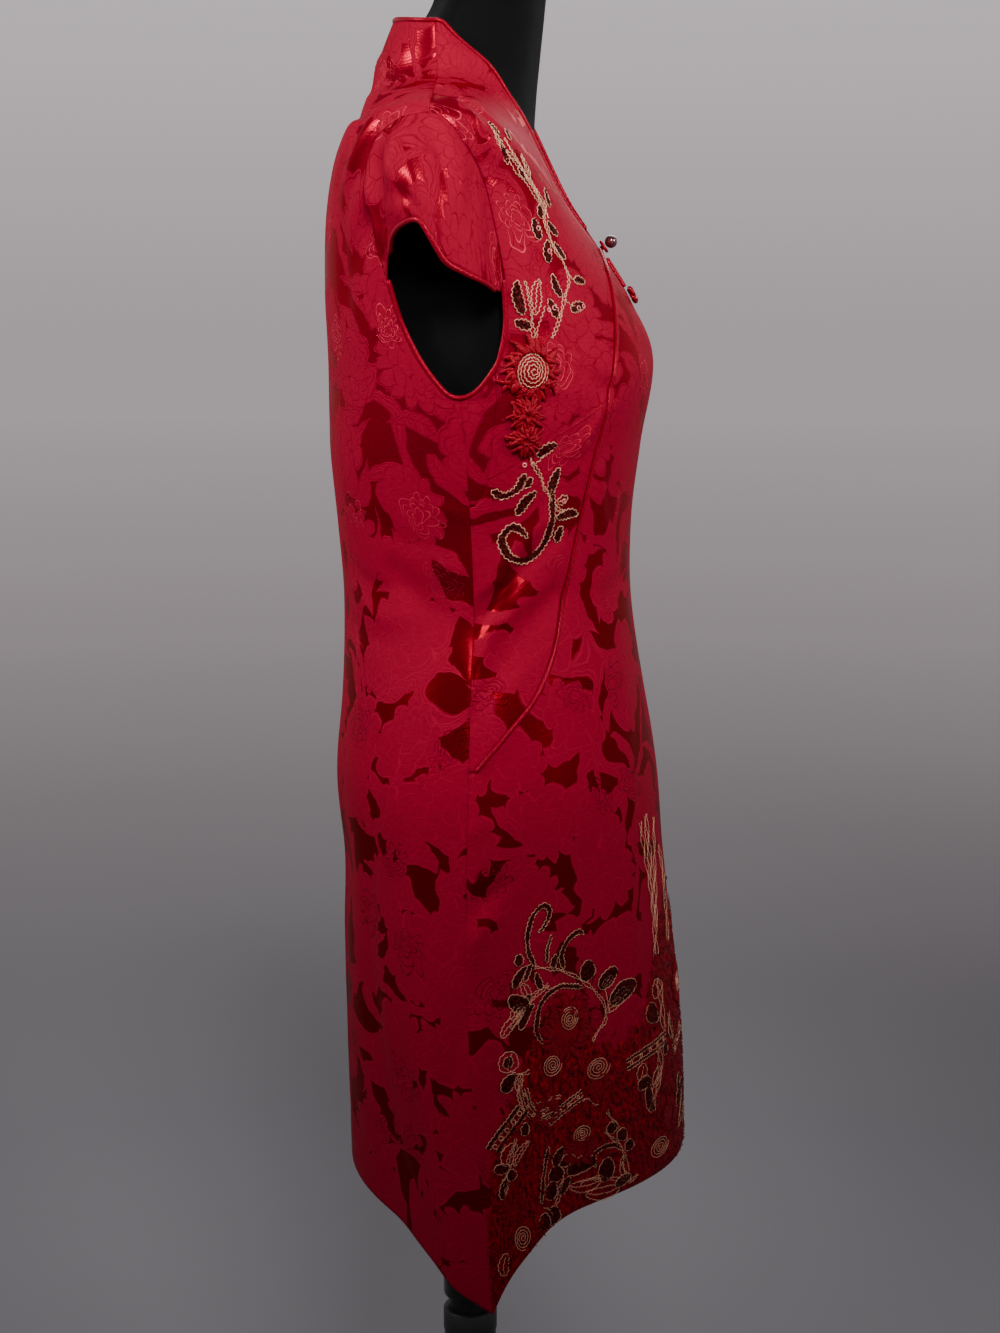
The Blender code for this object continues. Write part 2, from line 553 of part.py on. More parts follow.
def frog(satin, bead_black, collection):
    """The fastening at the low point of the neckline: tab, knot, loop, shank and bead."""
    top = Spot(0.0, 10.72)
    foot = Spot(0.0, 10.22)
    rows = 6
    outer, inner = [], []
    for step in range(rows + 1):
        level = top.level + (foot.level - top.level) * step / rows
        half = TAB_WIDTH / 2 * (0.75 + 0.25 * math.sin(math.pi * step / rows))
        line_out, line_in = [], []
        for share in (-1, -0.5, 0, 0.5, 1):
            spot = surface_spot(Spot(0.0, level), abs(half * share), 0 if share >= 0 else math.pi)
            crown = TAB_THICK * (1 - 0.45 * share * share)
            line_out.append(cloth(spot, -SEAT_GAP - crown))
            line_in.append(cloth(spot, -SEAT_GAP))
        outer.append(line_out)
        inner.append(line_in)
    new_object("frog_tab", wall_mesh("frog_tab", outer, inner), satin, collection)

    knot_spot = Spot(0.0, 10.06)
    outward = normal_on(DRESS_RINGS, knot_spot.turn, knot_spot.level)
    knot = bmesh.new()
    bmesh.ops.create_uvsphere(knot, u_segments=20, v_segments=10, radius=1)
    for vertex in knot.verts:
        angle = math.atan2(vertex.co.y, vertex.co.x)
        lobe = 1 + 0.13 * math.cos(5 * angle) * (1 - vertex.co.z**2)
        vertex.co.x *= KNOT_RADIUS * lobe
        vertex.co.y *= KNOT_RADIUS * lobe
        vertex.co.z *= KNOT_HEIGHT / 2
    bmesh.ops.triangulate(knot, faces=knot.faces[:])
    mesh = bpy.data.meshes.new("frog_knot")
    knot.to_mesh(mesh)
    knot.free()
    place = cloth(knot_spot) + outward * (KNOT_HEIGHT / 2 + SEAT_GAP)
    mesh.transform(oriented(place, outward, Vector((0, 0, 1))))
    new_object("frog_knot", mesh, satin, collection)

    bead_spot = Spot(0.0, 10.90)
    out = normal_on(DRESS_RINGS, bead_spot.turn, bead_spot.level)
    bead_place = cloth(bead_spot) + out * BEAD_STAND
    bead = bmesh.new()
    bmesh.ops.create_uvsphere(bead, u_segments=14, v_segments=8, radius=BEAD_RADIUS)
    bmesh.ops.triangulate(bead, faces=bead.faces[:])
    mesh = bpy.data.meshes.new("frog_bead")
    bead.to_mesh(mesh)
    bead.free()
    mesh.transform(Matrix.Translation(bead_place))
    new_object("frog_bead", mesh, bead_black, collection)

    shank_foot = cloth(bead_spot) + out * SEAT_GAP
    shank_top = bead_place - out * (BEAD_RADIUS + SEAT_GAP)
    trim("frog_shank", [shank_foot, shank_top], SHANK_RADIUS, satin, collection)

    loop_centre = shank_top - out * LOOP_CORD_RADIUS
    frame = oriented(loop_centre, out, Vector((0, 0, 1)))
    turns = 12
    points = []
    for step in range(turns):
        angle = 2 * math.pi * step / turns
        points.append(frame @ Vector((LOOP_RADIUS * math.cos(angle), LOOP_RADIUS * math.sin(angle), 0)))
    trim("frog_loop", points, LOOP_CORD_RADIUS, satin, collection, closed=True)


def dress(satin, collection):
    """Every cut piece of the dress, seam to seam."""
    outer_right = (
        SIDE_SEAM_LOW + SIDE_SEAM_HIGH + CURVED_SEAM + ARMHOLE_FRONT + SHOULDER_SEAM
    )
    back_right = (
        SIDE_SEAM_LOW + SIDE_SEAM_HIGH + SIDE_UNDER_ARM + ARMHOLE_BACK + SHOULDER_SEAM
    )
    opening_right = SIDE_SEAM_LOW + WRAP_EDGE + mirrored(NECK_EDGE)
    panel("front_main", opening_right, mirrored(outer_right), MAIN_COLUMNS, satin, collection)
    low_rows = len(SIDE_SEAM_LOW)
    panel(
        "front_upper_right", outer_right[low_rows:], WRAP_EDGE + NECK_EDGE,
        UNDER_COLUMNS, satin, collection,
    )
    full_turn = [Spot(360 - spot.turn, spot.level) for spot in back_right]
    panel("back", full_turn, back_right, BACK_COLUMNS, satin, collection)
    panel("side_front_right", SIDE_UNDER_ARM, CURVED_SEAM, INSERT_COLUMNS, satin, collection)
    panel(
        "side_front_left", mirrored(CURVED_SEAM), mirrored(SIDE_UNDER_ARM),
        INSERT_COLUMNS, satin, collection,
    )
    sleeve("cap_sleeve_right", 1, satin, collection)
    sleeve("cap_sleeve_left", -1, satin, collection)


def bindings(binding, collection):
    """Rolled bindings on the free edges and the corded piping of the wrap edge."""
    clear = BINDING_RADIUS + 2 * SEAT_GAP
    right = beside_edge(NECK_EDGE, clear, -1)
    collar = [Spot(turn, 16.0) for turn in range(90, 271, 12)]
    top = [
        cloth(spot, WALL / 2)
        + (cloth(spot) - cloth(Spot(spot.turn, 15.8))).normalized() * clear
        for spot in collar
    ]
    left = [Vector((p.x, -p.y, p.z)) for p in reversed(right)]
    trim("neckline_binding", right + top + left, BINDING_RADIUS, binding, collection)

    armhole = ARMHOLE_BACK[2::-1] + [SIDE_UNDER_ARM[-1], CURVED_SEAM[-1]] + ARMHOLE_FRONT[:3]
    round_arm = beside_edge(armhole, clear, 1)
    trim("armhole_binding_right", round_arm, BINDING_RADIUS, binding, collection)
    other_arm = [Vector((p.x, -p.y, p.z)) for p in round_arm]
    trim("armhole_binding_left", other_arm, BINDING_RADIUS, binding, collection)

    rows = sleeve_rows()
    hem = [row[-1] for row in rows]
    normals = [
        (row[-1] - row[-2]).cross(after - before).normalized()
        for row, before, after in zip(rows, hem[:1] + hem[:-1], hem[1:] + hem[-1:])
    ]
    hem = [point - normal * WALL / 2 for point, normal in zip(hem, normals)]
    hem_line = beside_line(hem, normals, HEM_PIPING_RADIUS + 2 * SEAT_GAP, -1)[1:-1]
    trim("sleeve_piping_right", hem_line, HEM_PIPING_RADIUS, binding, collection)
    other_hem = [Vector((p.x, -p.y, p.z)) for p in hem_line]
    trim("sleeve_piping_left", other_hem, HEM_PIPING_RADIUS, binding, collection)

    lifted = [cloth(spot, -WRAP_PIPING_RADIUS - 2 * SEAT_GAP) for spot in WRAP_EDGE[1:]]
    trim("wrap_piping", lifted, WRAP_PIPING_RADIUS, binding, collection)


def build():
    """Clears the scene and models the dress on its form."""
    for old in list(bpy.data.objects):
        bpy.data.objects.remove(old, do_unlink=True)
    collection = bpy.data.collections.new("cheongsam_on_form")
    bpy.context.scene.collection.children.link(collection)

    satin = finish_material("crimson_jacquard_satin", (0.36, 0.008, 0.030), 0.42, sheen=0.2)
    binding = finish_material("crimson_plain_satin", (0.30, 0.006, 0.022), 0.38)
    ribbon = finish_material("deep_red_ribbon", (0.24, 0.004, 0.014), 0.6)
    bead_black = finish_material("dark_glass_bead", (0.03, 0.005, 0.008), 0.12)
    velvet = finish_material("black_form_cover", (0.010, 0.010, 0.011), 0.85)
    black_metal = finish_material("black_painted_steel", (0.012, 0.012, 0.013), 0.35)
    black_plastic = finish_material("black_plastic", (0.014, 0.014, 0.015), 0.45)

    dress(satin, collection)
    bindings(binding, collection)
    for entry in BLOOMS:
        bloom(entry, ribbon, collection)
    frog(binding, bead_black, collection)
    form_torso(velvet, collection)
    stand(black_metal, black_plastic, collection)


build()
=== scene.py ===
import math
import random
from collections import namedtuple

import bmesh
import bpy
import numpy as np
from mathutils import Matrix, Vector


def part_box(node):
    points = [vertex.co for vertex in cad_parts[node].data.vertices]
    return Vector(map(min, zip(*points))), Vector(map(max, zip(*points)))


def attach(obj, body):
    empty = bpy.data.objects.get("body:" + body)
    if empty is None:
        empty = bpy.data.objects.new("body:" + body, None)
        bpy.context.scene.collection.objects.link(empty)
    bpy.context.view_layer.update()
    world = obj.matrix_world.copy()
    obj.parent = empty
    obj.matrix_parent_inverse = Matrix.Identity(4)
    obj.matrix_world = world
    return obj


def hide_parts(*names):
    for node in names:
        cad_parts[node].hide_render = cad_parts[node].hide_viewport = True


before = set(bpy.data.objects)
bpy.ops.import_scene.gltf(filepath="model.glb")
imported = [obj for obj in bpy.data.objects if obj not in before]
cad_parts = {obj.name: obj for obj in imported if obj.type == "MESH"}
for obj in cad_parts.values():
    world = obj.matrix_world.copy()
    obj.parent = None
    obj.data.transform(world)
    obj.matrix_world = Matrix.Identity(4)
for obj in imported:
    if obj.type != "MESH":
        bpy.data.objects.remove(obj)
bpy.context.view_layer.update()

# The body of the dress. Two fronts, two small side fronts and a back are cut from figured
# satin and sewn at the sides, under the arms and on the shoulders. The right front laps over at the
# wrap edge. Each is a thin shell on its packed panel, with the soft folds of worn cloth.

# Columns: front x, front z, side x, side y, side z, back x, back z, front round, back round,
# front fall, back fall. Rows run from the hem to the top of the collar.
BODY_ROWS = np.array([
    (0.1750, 0.5680, 0.0390, 0.180, 0.500, -0.0965, 0.5570, 1.90, 1.60, 12, 4),
    (0.1715, 0.6550, 0.0260, 0.181, 0.640, -0.0962, 0.6550, 1.55, 1.40, 6, 3),
    (0.1625, 0.7450, 0.0200, 0.182, 0.742, -0.0962, 0.7450, 1.30, 1.20, 3, 2),
    (0.1550, 0.8150, 0.0200, 0.182, 0.814, -0.0945, 0.8150, 1.15, 1.05, 2, 2),
    (0.1490, 0.8800, 0.0210, 0.180, 0.880, -0.1010, 0.8800, 1.05, 0.95, 2, 2),
    (0.1380, 0.9450, 0.0210, 0.166, 0.945, -0.0966, 0.9450, 1.00, 0.95, 2, 2),
    (0.1282, 1.0100, 0.0220, 0.150, 1.008, -0.0955, 1.0100, 0.95, 0.95, 2, 2),
    (0.1270, 1.0700, 0.0210, 0.153, 1.064, -0.0995, 1.0700, 0.90, 0.92, 2, 2),
    (0.1335, 1.1300, 0.0190, 0.163, 1.118, -0.1040, 1.1280, 0.85, 0.88, 2, 2),
    (0.1430, 1.1950, 0.0150, 0.172, 1.168, -0.1040, 1.1900, 0.80, 0.85, 2, 2),
    (0.1250, 1.2400, 0.0030, 0.178, 1.235, -0.1050, 1.2500, 0.80, 0.82, 2, 2),
    (0.0985, 1.2815, -0.0030, 0.186, 1.300, -0.1020, 1.3050, 0.80, 0.82, 2, 2),
    (0.0770, 1.3130, -0.0020, 0.190, 1.360, -0.0920, 1.3420, 0.85, 0.85, 2, 2),
    (0.0610, 1.3460, -0.0070, 0.134, 1.381, -0.0815, 1.3650, 0.90, 0.90, 2, 2),
    (0.0500, 1.3770, -0.0120, 0.080, 1.399, -0.0735, 1.3880, 1.00, 0.95, 2, 2),
    (0.0420, 1.3940, -0.0140, 0.070, 1.420, -0.0650, 1.4180, 1.00, 1.00, 2, 2),
    (0.0170, 1.3950, -0.0150, 0.065, 1.437, -0.0545, 1.4445, 1.00, 1.00, 2, 2),
])
CLOTH_GRID = 0.0037
CLOTH_THICKNESS = 0.0008
SEAM_GAP = 0.00004


def rows_at(table, level):
    """Rows of a table at any levels, on smooth curves through the given ones."""
    level = np.clip(level, 0.0, len(table) - 1.0)
    low = np.minimum(level.astype(int), len(table) - 2)
    t = (level - low)[..., None]
    a, b = table[low], table[low + 1]
    before, after = table[np.maximum(low - 1, 0)], table[np.minimum(low + 2, len(table) - 1)]
    slope_a = np.where((low > 0)[..., None], (b - before) / 2, b - a)
    slope_b = np.where((low + 2 < len(table))[..., None], (after - a) / 2, b - a)
    return (
        (2 * t**3 - 3 * t**2 + 1) * a + (t**3 - 2 * t**2 + t) * slope_a
        + (3 * t**2 - 2 * t**3) * b + (t**3 - t**2) * slope_b
    )


def on_rows(table, turn, level):
    """Points of the plain surface, for turns round the body in degrees and levels up it."""
    row = rows_at(table, level)
    ahead, aside = np.cos(np.radians(turn)), np.sin(np.radians(turn))
    front = ahead >= 0
    end_x, end_z = np.where(front, row[..., 0], row[..., 5]), np.where(front, row[..., 1], row[..., 6])
    power = np.where(front, row[..., 7], row[..., 8])
    fall = np.where(front, row[..., 9], row[..., 10])
    return np.stack((
        row[..., 2] + (end_x - row[..., 2]) * np.abs(ahead) ** power,
        -row[..., 3] * aside,
        row[..., 4] + (end_z - row[..., 4]) * (1 - np.abs(aside) ** fall),
    ), -1)


def unit(vectors):
    """The vectors at length one."""
    return vectors / np.maximum(np.linalg.norm(vectors, axis=-1, keepdims=True), 1e-12)


def outward_on(table, turn, level):
    """The outward directions of the plain surface."""
    level = np.clip(level, 0.02, len(table) - 1.02)
    round_it = on_rows(table, turn + 0.4, level) - on_rows(table, turn - 0.4, level)
    upward = on_rows(table, turn, level + 0.02) - on_rows(table, turn, level - 0.02)
    return unit(np.cross(upward, round_it))


TURN_STEP, LEVEL_STEP = 1.5, 0.1
turn_net, level_net = np.meshgrid(np.arange(0, 180.1, TURN_STEP), np.arange(0, 16.01, LEVEL_STEP))
net = on_rows(BODY_ROWS, turn_net, level_net)
ACROSS = np.zeros(net.shape[:2])
ACROSS[:, 1:] = np.cumsum(np.linalg.norm(np.diff(net, axis=1), axis=-1), axis=1)
UP = np.zeros(net.shape[:2])
UP[1:] = np.cumsum(np.linalg.norm(np.diff(net, axis=0), axis=-1), axis=0)
UP += net[0, :, 2]


def looked_up(table, turn, level):
    """Values between the entries of a table of turns and levels."""
    i = np.clip(level / LEVEL_STEP, 0, table.shape[0] - 1.001)
    j = np.clip(np.abs((turn + 180) % 360 - 180) / TURN_STEP, 0, table.shape[1] - 1.001)
    low_i, low_j = i.astype(int), j.astype(int)
    i, j = i - low_i, j - low_j
    near = table[low_i, low_j] * (1 - i) + table[low_i + 1, low_j] * i
    far = table[low_i, low_j + 1] * (1 - i) + table[low_i + 1, low_j + 1] * i
    return near * (1 - j) + far * j


Fold = namedtuple("Fold", "turn_a level_a turn_b level_b width height")
# The largest folds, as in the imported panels: they fade from the first end to the second.
LARGE_FOLDS = [
    Fold(58, 6.35, 89, 5.35, 0.020, -0.0035), Fold(66, 0.0, 72, 2.6, 0.030, 0.0040),
    Fold(112, 0.0, 107, 3.0, 0.032, 0.0045), Fold(136, 0.0, 140, 2.2, 0.034, -0.0035),
    Fold(98, 11.8, 128, 10.6, 0.020, 0.0035), Fold(104, 11.3, 132, 9.8, 0.018, -0.0025),
    Fold(118, 6.6, 92, 5.9, 0.022, -0.0030),
]
Crease = namedtuple("Crease", "side turn_a level_a turn_b level_b width height")
# Soft creases, fading at both ends. A side of 1 is the wearer's right, -1 the left,
# and 0 both.
CREASES = [
    # the pull from the waist to the hip, under the wrap edge
    Crease(1, 57, 7.10, 90, 5.50, 0.0080, -0.0036), Crease(1, 62, 6.55, 90, 5.10, 0.0110, 0.0030),
    Crease(1, 60, 7.45, 84, 6.30, 0.0085, 0.0024), Crease(-1, 64, 6.75, 89, 5.70, 0.0100, -0.0018),
    Crease(-1, 66, 6.15, 88, 5.20, 0.0120, 0.0015), Crease(0, 72, 5.6, 89, 4.9, 0.0070, -0.0009),
    # short puckers along the side seams
    Crease(1, 74, 6.62, 89.5, 6.35, 0.0045, 0.0012), Crease(1, 76, 6.20, 89.5, 6.05, 0.0045, -0.0012),
    Crease(1, 91, 6.62, 103, 6.75, 0.0050, 0.0009), Crease(1, 91, 6.35, 104, 6.42, 0.0045, -0.0008),
    Crease(1, 91, 7.35, 101, 7.50, 0.0050, 0.0008), Crease(1, 82, 3.9, 89.5, 3.65, 0.0055, 0.0009),
    Crease(-1, 77, 6.45, 89.5, 6.30, 0.0045, 0.0008), Crease(-1, 91, 6.5, 104, 6.6, 0.0050, -0.0009),
    Crease(-1, 91, 7.2, 102, 7.4, 0.0050, 0.0008), Crease(1, 74, 3.25, 89, 2.70, 0.0085, -0.0022),
    Crease(1, 77, 2.90, 88, 2.30, 0.0080, 0.0018),
    # drawn folds from the end of the shoulder seam over the front
    Crease(0, 88, 13.05, 58, 12.50, 0.0060, 0.0024), Crease(0, 88, 12.70, 55, 12.05, 0.0058, -0.0028),
    Crease(0, 87, 12.40, 60, 11.50, 0.0062, 0.0024), Crease(1, 84, 13.3, 58, 13.10, 0.0050, -0.0010),
    Crease(-1, 84, 13.4, 56, 13.25, 0.0055, -0.0010), Crease(0, 76, 11.9, 58, 11.1, 0.0080, -0.0010),
    # the back of the shoulders
    Crease(0, 93, 12.95, 122, 12.35, 0.0070, 0.0030), Crease(0, 92, 12.60, 124, 11.70, 0.0075, -0.0038),
    Crease(1, 108, 12.2, 128, 10.9, 0.0085, 0.0028), Crease(-1, 110, 12.0, 127, 10.7, 0.0090, 0.0017),
    Crease(0, 118, 11.4, 126, 9.6, 0.0110, -0.0017), Crease(1, 132, 12.4, 140, 10.8, 0.0120, 0.0012),
    Crease(-1, 134, 12.3, 144, 10.6, 0.0120, 0.0012), Crease(0, 150, 13.3, 162, 12.1, 0.0100, -0.0010),
    # from the armhole to the bust
    Crease(1, 77, 9.25, 60, 8.80, 0.0080, -0.0011), Crease(1, 71, 10.35, 50, 9.65, 0.0095, 0.0018),
    Crease(1, 54, 9.25, 36, 8.80, 0.0085, -0.0020), Crease(1, 60, 8.10, 44, 8.80, 0.0070, 0.0018),
    Crease(-1, 76, 9.35, 56, 8.85, 0.0080, -0.0011), Crease(-1, 68, 10.2, 50, 9.7, 0.0100, 0.0011),
    Crease(0, 22, 9.35, 4, 9.15, 0.0100, -0.0007), Crease(1, 40, 8.0, 30, 7.0, 0.0100, 0.0009),
    # the small of the back and the waist
    Crease(0, 150, 6.75, 112, 6.45, 0.0080, -0.0011), Crease(0, 148, 6.35, 108, 6.10, 0.0075, 0.0010),
    Crease(0, 160, 6.05, 120, 5.80, 0.0085, -0.0008), Crease(0, 126, 7.4, 96, 7.05, 0.0090, -0.0009),
    Crease(0, 44, 6.35, 12, 6.55, 0.0090, -0.0008), Crease(0, 40, 6.05, 8, 6.10, 0.0085, 0.0007),
    # long soft falls of the skirt
    Crease(0, 24, 5.0, 20, 0.6, 0.0180, 0.0012), Crease(0, 42, 4.7, 38, 1.0, 0.0160, -0.0013),
    Crease(0, 156, 4.9, 158, 0.3, 0.0180, 0.0016), Crease(0, 124, 4.6, 122, 0.2, 0.0160, -0.0020),
    Crease(1, 102, 4.2, 98, 0.4, 0.0110, 0.0015), Crease(-1, 104, 4.4, 99, 0.3, 0.0120, 0.0015),
    Crease(0, 82, 2.2, 84, 0.1, 0.0100, -0.0014), Crease(0, 172, 3.2, 171, 0.0, 0.0140, -0.0010),
]


def fold_lift(turn, level):
    """How far folds, creases and the slack of the cloth lift it off the plain surface."""
    aside = np.abs((turn + 180) % 360 - 180)
    right = np.where((turn + 180) % 360 > 180, 1, -1)
    lift = np.zeros(aside.shape)
    for fold in LARGE_FOLDS:
        along = np.array((
            (fold.turn_b - fold.turn_a) * 0.0029, (fold.level_b - fold.level_a) * 0.065,
        ))
        place = np.stack(((aside - fold.turn_a) * 0.0029, (level - fold.level_a) * 0.065), -1)
        share = place @ along / (along @ along)
        inside = np.clip(share, 0.0, 1.0)
        away = np.linalg.norm(place - inside[..., None] * along, axis=-1) / fold.width
        fade = np.cos(math.pi / 2 * inside * 0.9)
        if fold.level_a <= 0:
            fade = np.where(share < 0, 1.0, fade)
        lift += fold.height * fade * np.exp(-2.0 * away * away)
    s, v = looked_up(ACROSS, aside, level), looked_up(UP, aside, level)
    for crease in CREASES:
        ends = np.array(((crease.turn_a, crease.level_a), (crease.turn_b, crease.level_b)))
        end_s, end_v = looked_up(ACROSS, *ends.T), looked_up(UP, *ends.T)
        along = np.array((end_s[1] - end_s[0], end_v[1] - end_v[0]))
        length = np.linalg.norm(along)
        along /= length
        share = ((s - end_s[0]) * along[0] + (v - end_v[0]) * along[1]) / length
        bow = 0.10 * length * np.sin(math.pi * np.clip(share, 0, 1))
        off = ((v - end_v[0]) * along[0] - (s - end_s[0]) * along[1] - bow) / crease.width
        taper = np.sin(math.pi * np.clip(share * 0.9 + 0.05, 0, 1)) ** 0.8
        beyond = np.maximum(np.abs(share - 0.5) - 0.5, 0) * length / crease.width
        shape = np.exp(-1.4 * off * off * np.where(off > 0, 0.55, 1.6) - 2 * beyond * beyond)
        worn = 1.0 if crease.side == 0 else (right == crease.side)
        lift += 1.25 * crease.height * taper * shape * worn
    slack = np.sin(s / 0.0125 + 1.6 * np.sin(v / 0.026) + right) * np.sin(v / 0.019 + 1.1
        * np.sin(s / 0.017))
    long_slack = np.sin(s / 0.034 + 1.2 * np.sin(v / 0.071) + 0.7 * right) * np.sin(v / 0.058 + s / 0.09)
    return lift + 0.00016 * slack + 0.00045 * long_slack


def on_dress(turn, level, lift=0.0):
    """Points on the outer face of the dress, lifted off it where asked, and the outward directions."""
    turn, level = np.asarray(turn, float), np.asarray(level, float)
    normal = outward_on(BODY_ROWS, turn, level)
    height = (fold_lift(turn, level) + lift)[..., None]
    return on_rows(BODY_ROWS, turn, level) + normal * height, normal


def smooth_line(points, steps):
    """Points on smooth curves through the given ones, with a number of steps for each stretch."""
    points = np.asarray(points, float)
    level = np.concatenate([i + np.arange(n) / n for i, n in enumerate(steps)] + [[len(points) - 1.0]])
    return rows_at(points, level)


SIDE_LOW = [[(90, x) for x in (0, 0.5, 1.1, 1.7, 2.25, 2.8, 3.35, 3.9, 4.415)]]
SIDE_HIGH = [[(90, x) for x in (4.42, 4.92, 5.45, 5.97, 6.5, 7.02, 7.552)]]
SIDE_UNDER_ARM = [[(90, x) for x in (7.56, 7.90, 8.30, 8.65, 9.02)]]
CURVED_SEAM = [[(88.8, 7.56), (85.6, 7.80), (84.3, 8.25), (83.2, 8.75), (81.5, 9.32)]]
ARMHOLE_FRONT = [[
    (78.3, 9.50), (74.5, 9.83), (72.5, 10.25), (71.5, 10.80), (72.3, 11.30), (77.5, 11.62), (90.0, 12.00),
]]
ARMHOLE_BACK = [[
    (96.5, 9.28), (102.0, 9.72), (105.5, 10.22), (110.0, 10.70), (113.5, 11.20), (109.5, 11.70),
    (90.0, 12.00),
]]
SHOULDER_SEAM = [[(90, x) for x in (12.8, 13.6, 14.3, 15.1, 16.0)]]
WRAP_EDGE = [[
    (87.5, 4.42), (76.5, 4.84), (67.0, 5.20), (60.0, 5.66), (55.5, 6.20), (51.5, 6.78), (48.3, 7.30),
    (46.0, 7.75), (44.0, 8.20), (42.8, 8.65), (39.5, 9.12), (34.0, 9.50), (27.0, 9.92), (16.5, 10.45),
    (3.0, 10.88),
]]
NECK_EDGE = [[
    (5.8, 11.35), (8.8, 11.95), (12.5, 12.55), (20.0, 13.20), (34.0, 13.90), (47.0, 14.60),
    (60.0, 15.30), (71.0, 15.72), (80.0, 16.00),
]]


def left_of(parts):
    """The same edges on the left half."""
    return [[(-turn, level) for turn, level in part] for part in parts]


def fine_edges(start_parts, end_parts, spacing):
    """Two edges of a panel as close spots in step, curved within each part and straight between."""
    whole = [np.array([spot for part in parts for spot in part], float)
        for parts in (start_parts, end_parts)]
    gaps = [np.linalg.norm(np.diff(on_rows(BODY_ROWS, *edge.T), axis=0), axis=1) for edge in whole]
    steps = np.maximum(np.ceil(np.maximum(*gaps) / spacing).astype(int), 1)
    edges = []
    for parts in (start_parts, end_parts):
        line, first = [], 0
        for part in parts:
            here = steps[first:first + len(part) - 1]
            line.append(smooth_line(part, here))
            first += len(part)
            if first <= len(steps):
                share = (np.arange(1, steps[first - 1]) / steps[first - 1])[:, None]
                beyond = whole[0 if parts is start_parts else 1][first]
                line.append(np.array(part[-1]) * (1 - share) + beyond * share)
        edges.append(np.concatenate(line))
    return edges


def spots_between(start, end, columns):
    """A net of spots from edge to edge, closer beside the seams, and the lengths across each row."""
    share = np.linspace(0, 1, 161)
    lines = start[:, None] * (1 - share[None, :, None]) + end[:, None] * share[None, :, None]
    points = on_rows(BODY_ROWS, lines[..., 0], lines[..., 1])
    lengths = np.zeros(points.shape[:2])
    lengths[:, 1:] = np.cumsum(np.linalg.norm(np.diff(points, axis=1), axis=-1), axis=1)
    spots, places = [], []
    for row, length in zip(lines, lengths):
        gap = min(SEAM_GAP, length[-1] * 0.2)
        fine = np.array((0.0, 0.0007, 0.0016, 0.0030)) * min(1.0, length[-1] / 0.02)
        even = np.linspace(fine[-1], length[-1] - 2 * gap - fine[-1], columns)[1:-1]
        place = gap + np.concatenate((fine, even, length[-1] - 2 * gap - fine[::-1]))
        at = np.interp(place, length, share)
        spots.append(row[0] * (1 - at[:, None]) + row[-1] * at[:, None])
        places.append(place)
    return np.array(spots), np.array(places), lengths[:, -1:]


def grid_mesh(name, points, flat, turned=False):
    """A sheet through a grid of points, with the cut's flat measures in metres as its map."""
    rows, columns = points.shape[:2]
    index = np.arange(rows * columns).reshape(rows, columns)
    quads = np.stack((index[:-1, :-1], index[:-1, 1:], index[1:, 1:], index[1:, :-1]), -1).reshape(-1, 4)
    if turned:
        quads = quads[:, ::-1]
    mesh = bpy.data.meshes.new(name)
    mesh.from_pydata(points.reshape(-1, 3).tolist(), [], quads.tolist())
    layer = mesh.uv_layers.new(name="cut")
    layer.data.foreach_set("uv", flat.reshape(-1, 2)[quads.ravel()].astype(np.float32).ravel())
    mesh.shade_smooth()
    return mesh


def add_piece(name, mesh, material, slot, *nodes):
    """Puts a finished mesh in the scene on the part's one body, in place of the nodes named."""
    piece = bpy.data.objects.new(name, mesh)
    mesh.materials.append(material)
    bpy.context.scene.collection.objects.link(piece)
    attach(piece, "root")
    if nodes:
        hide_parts(*nodes)
    return piece


def give_thickness(piece, thickness):
    """Gives a sheet its other side, inward."""
    shell = piece.modifiers.new("cloth_thickness", "SOLIDIFY")
    shell.thickness = thickness
    shell.offset = -1
    shell.use_rim = True


def calc(tree, kind, *values):
    """A maths node on numbers or sockets, and its output."""
    node = tree.nodes.new("ShaderNodeMath")
    node.operation = kind
    for socket, value in zip(node.inputs, values):
        if isinstance(value, bpy.types.NodeSocket):
            tree.links.new(value, socket)
        else:
            socket.default_value = value
    return node.outputs[0]


def soft_step(tree, value, edge, blur):
    """1 where the value is below an edge, 0 above it."""
    node = tree.nodes.new("ShaderNodeMapRange")
    node.interpolation_type = "SMOOTHSTEP"
    tree.links.new(value, node.inputs["Value"])
    for name, limit in (("From Min", calc(tree, "SUBTRACT", edge, blur)),
        ("From Max", calc(tree, "ADD", edge, blur))):
        tree.links.new(limit, node.inputs[name])
    node.inputs["To Min"].default_value = 1.0
    node.inputs["To Max"].default_value = 0.0
    return node.outputs["Result"]


def thin_line(tree, value, edge, half_width):
    """1 where the value lies within half a line's width of an edge."""
    away = calc(tree, "ABSOLUTE", calc(tree, "SUBTRACT", value, edge))
    return soft_step(tree, away, half_width, half_width * 0.5)


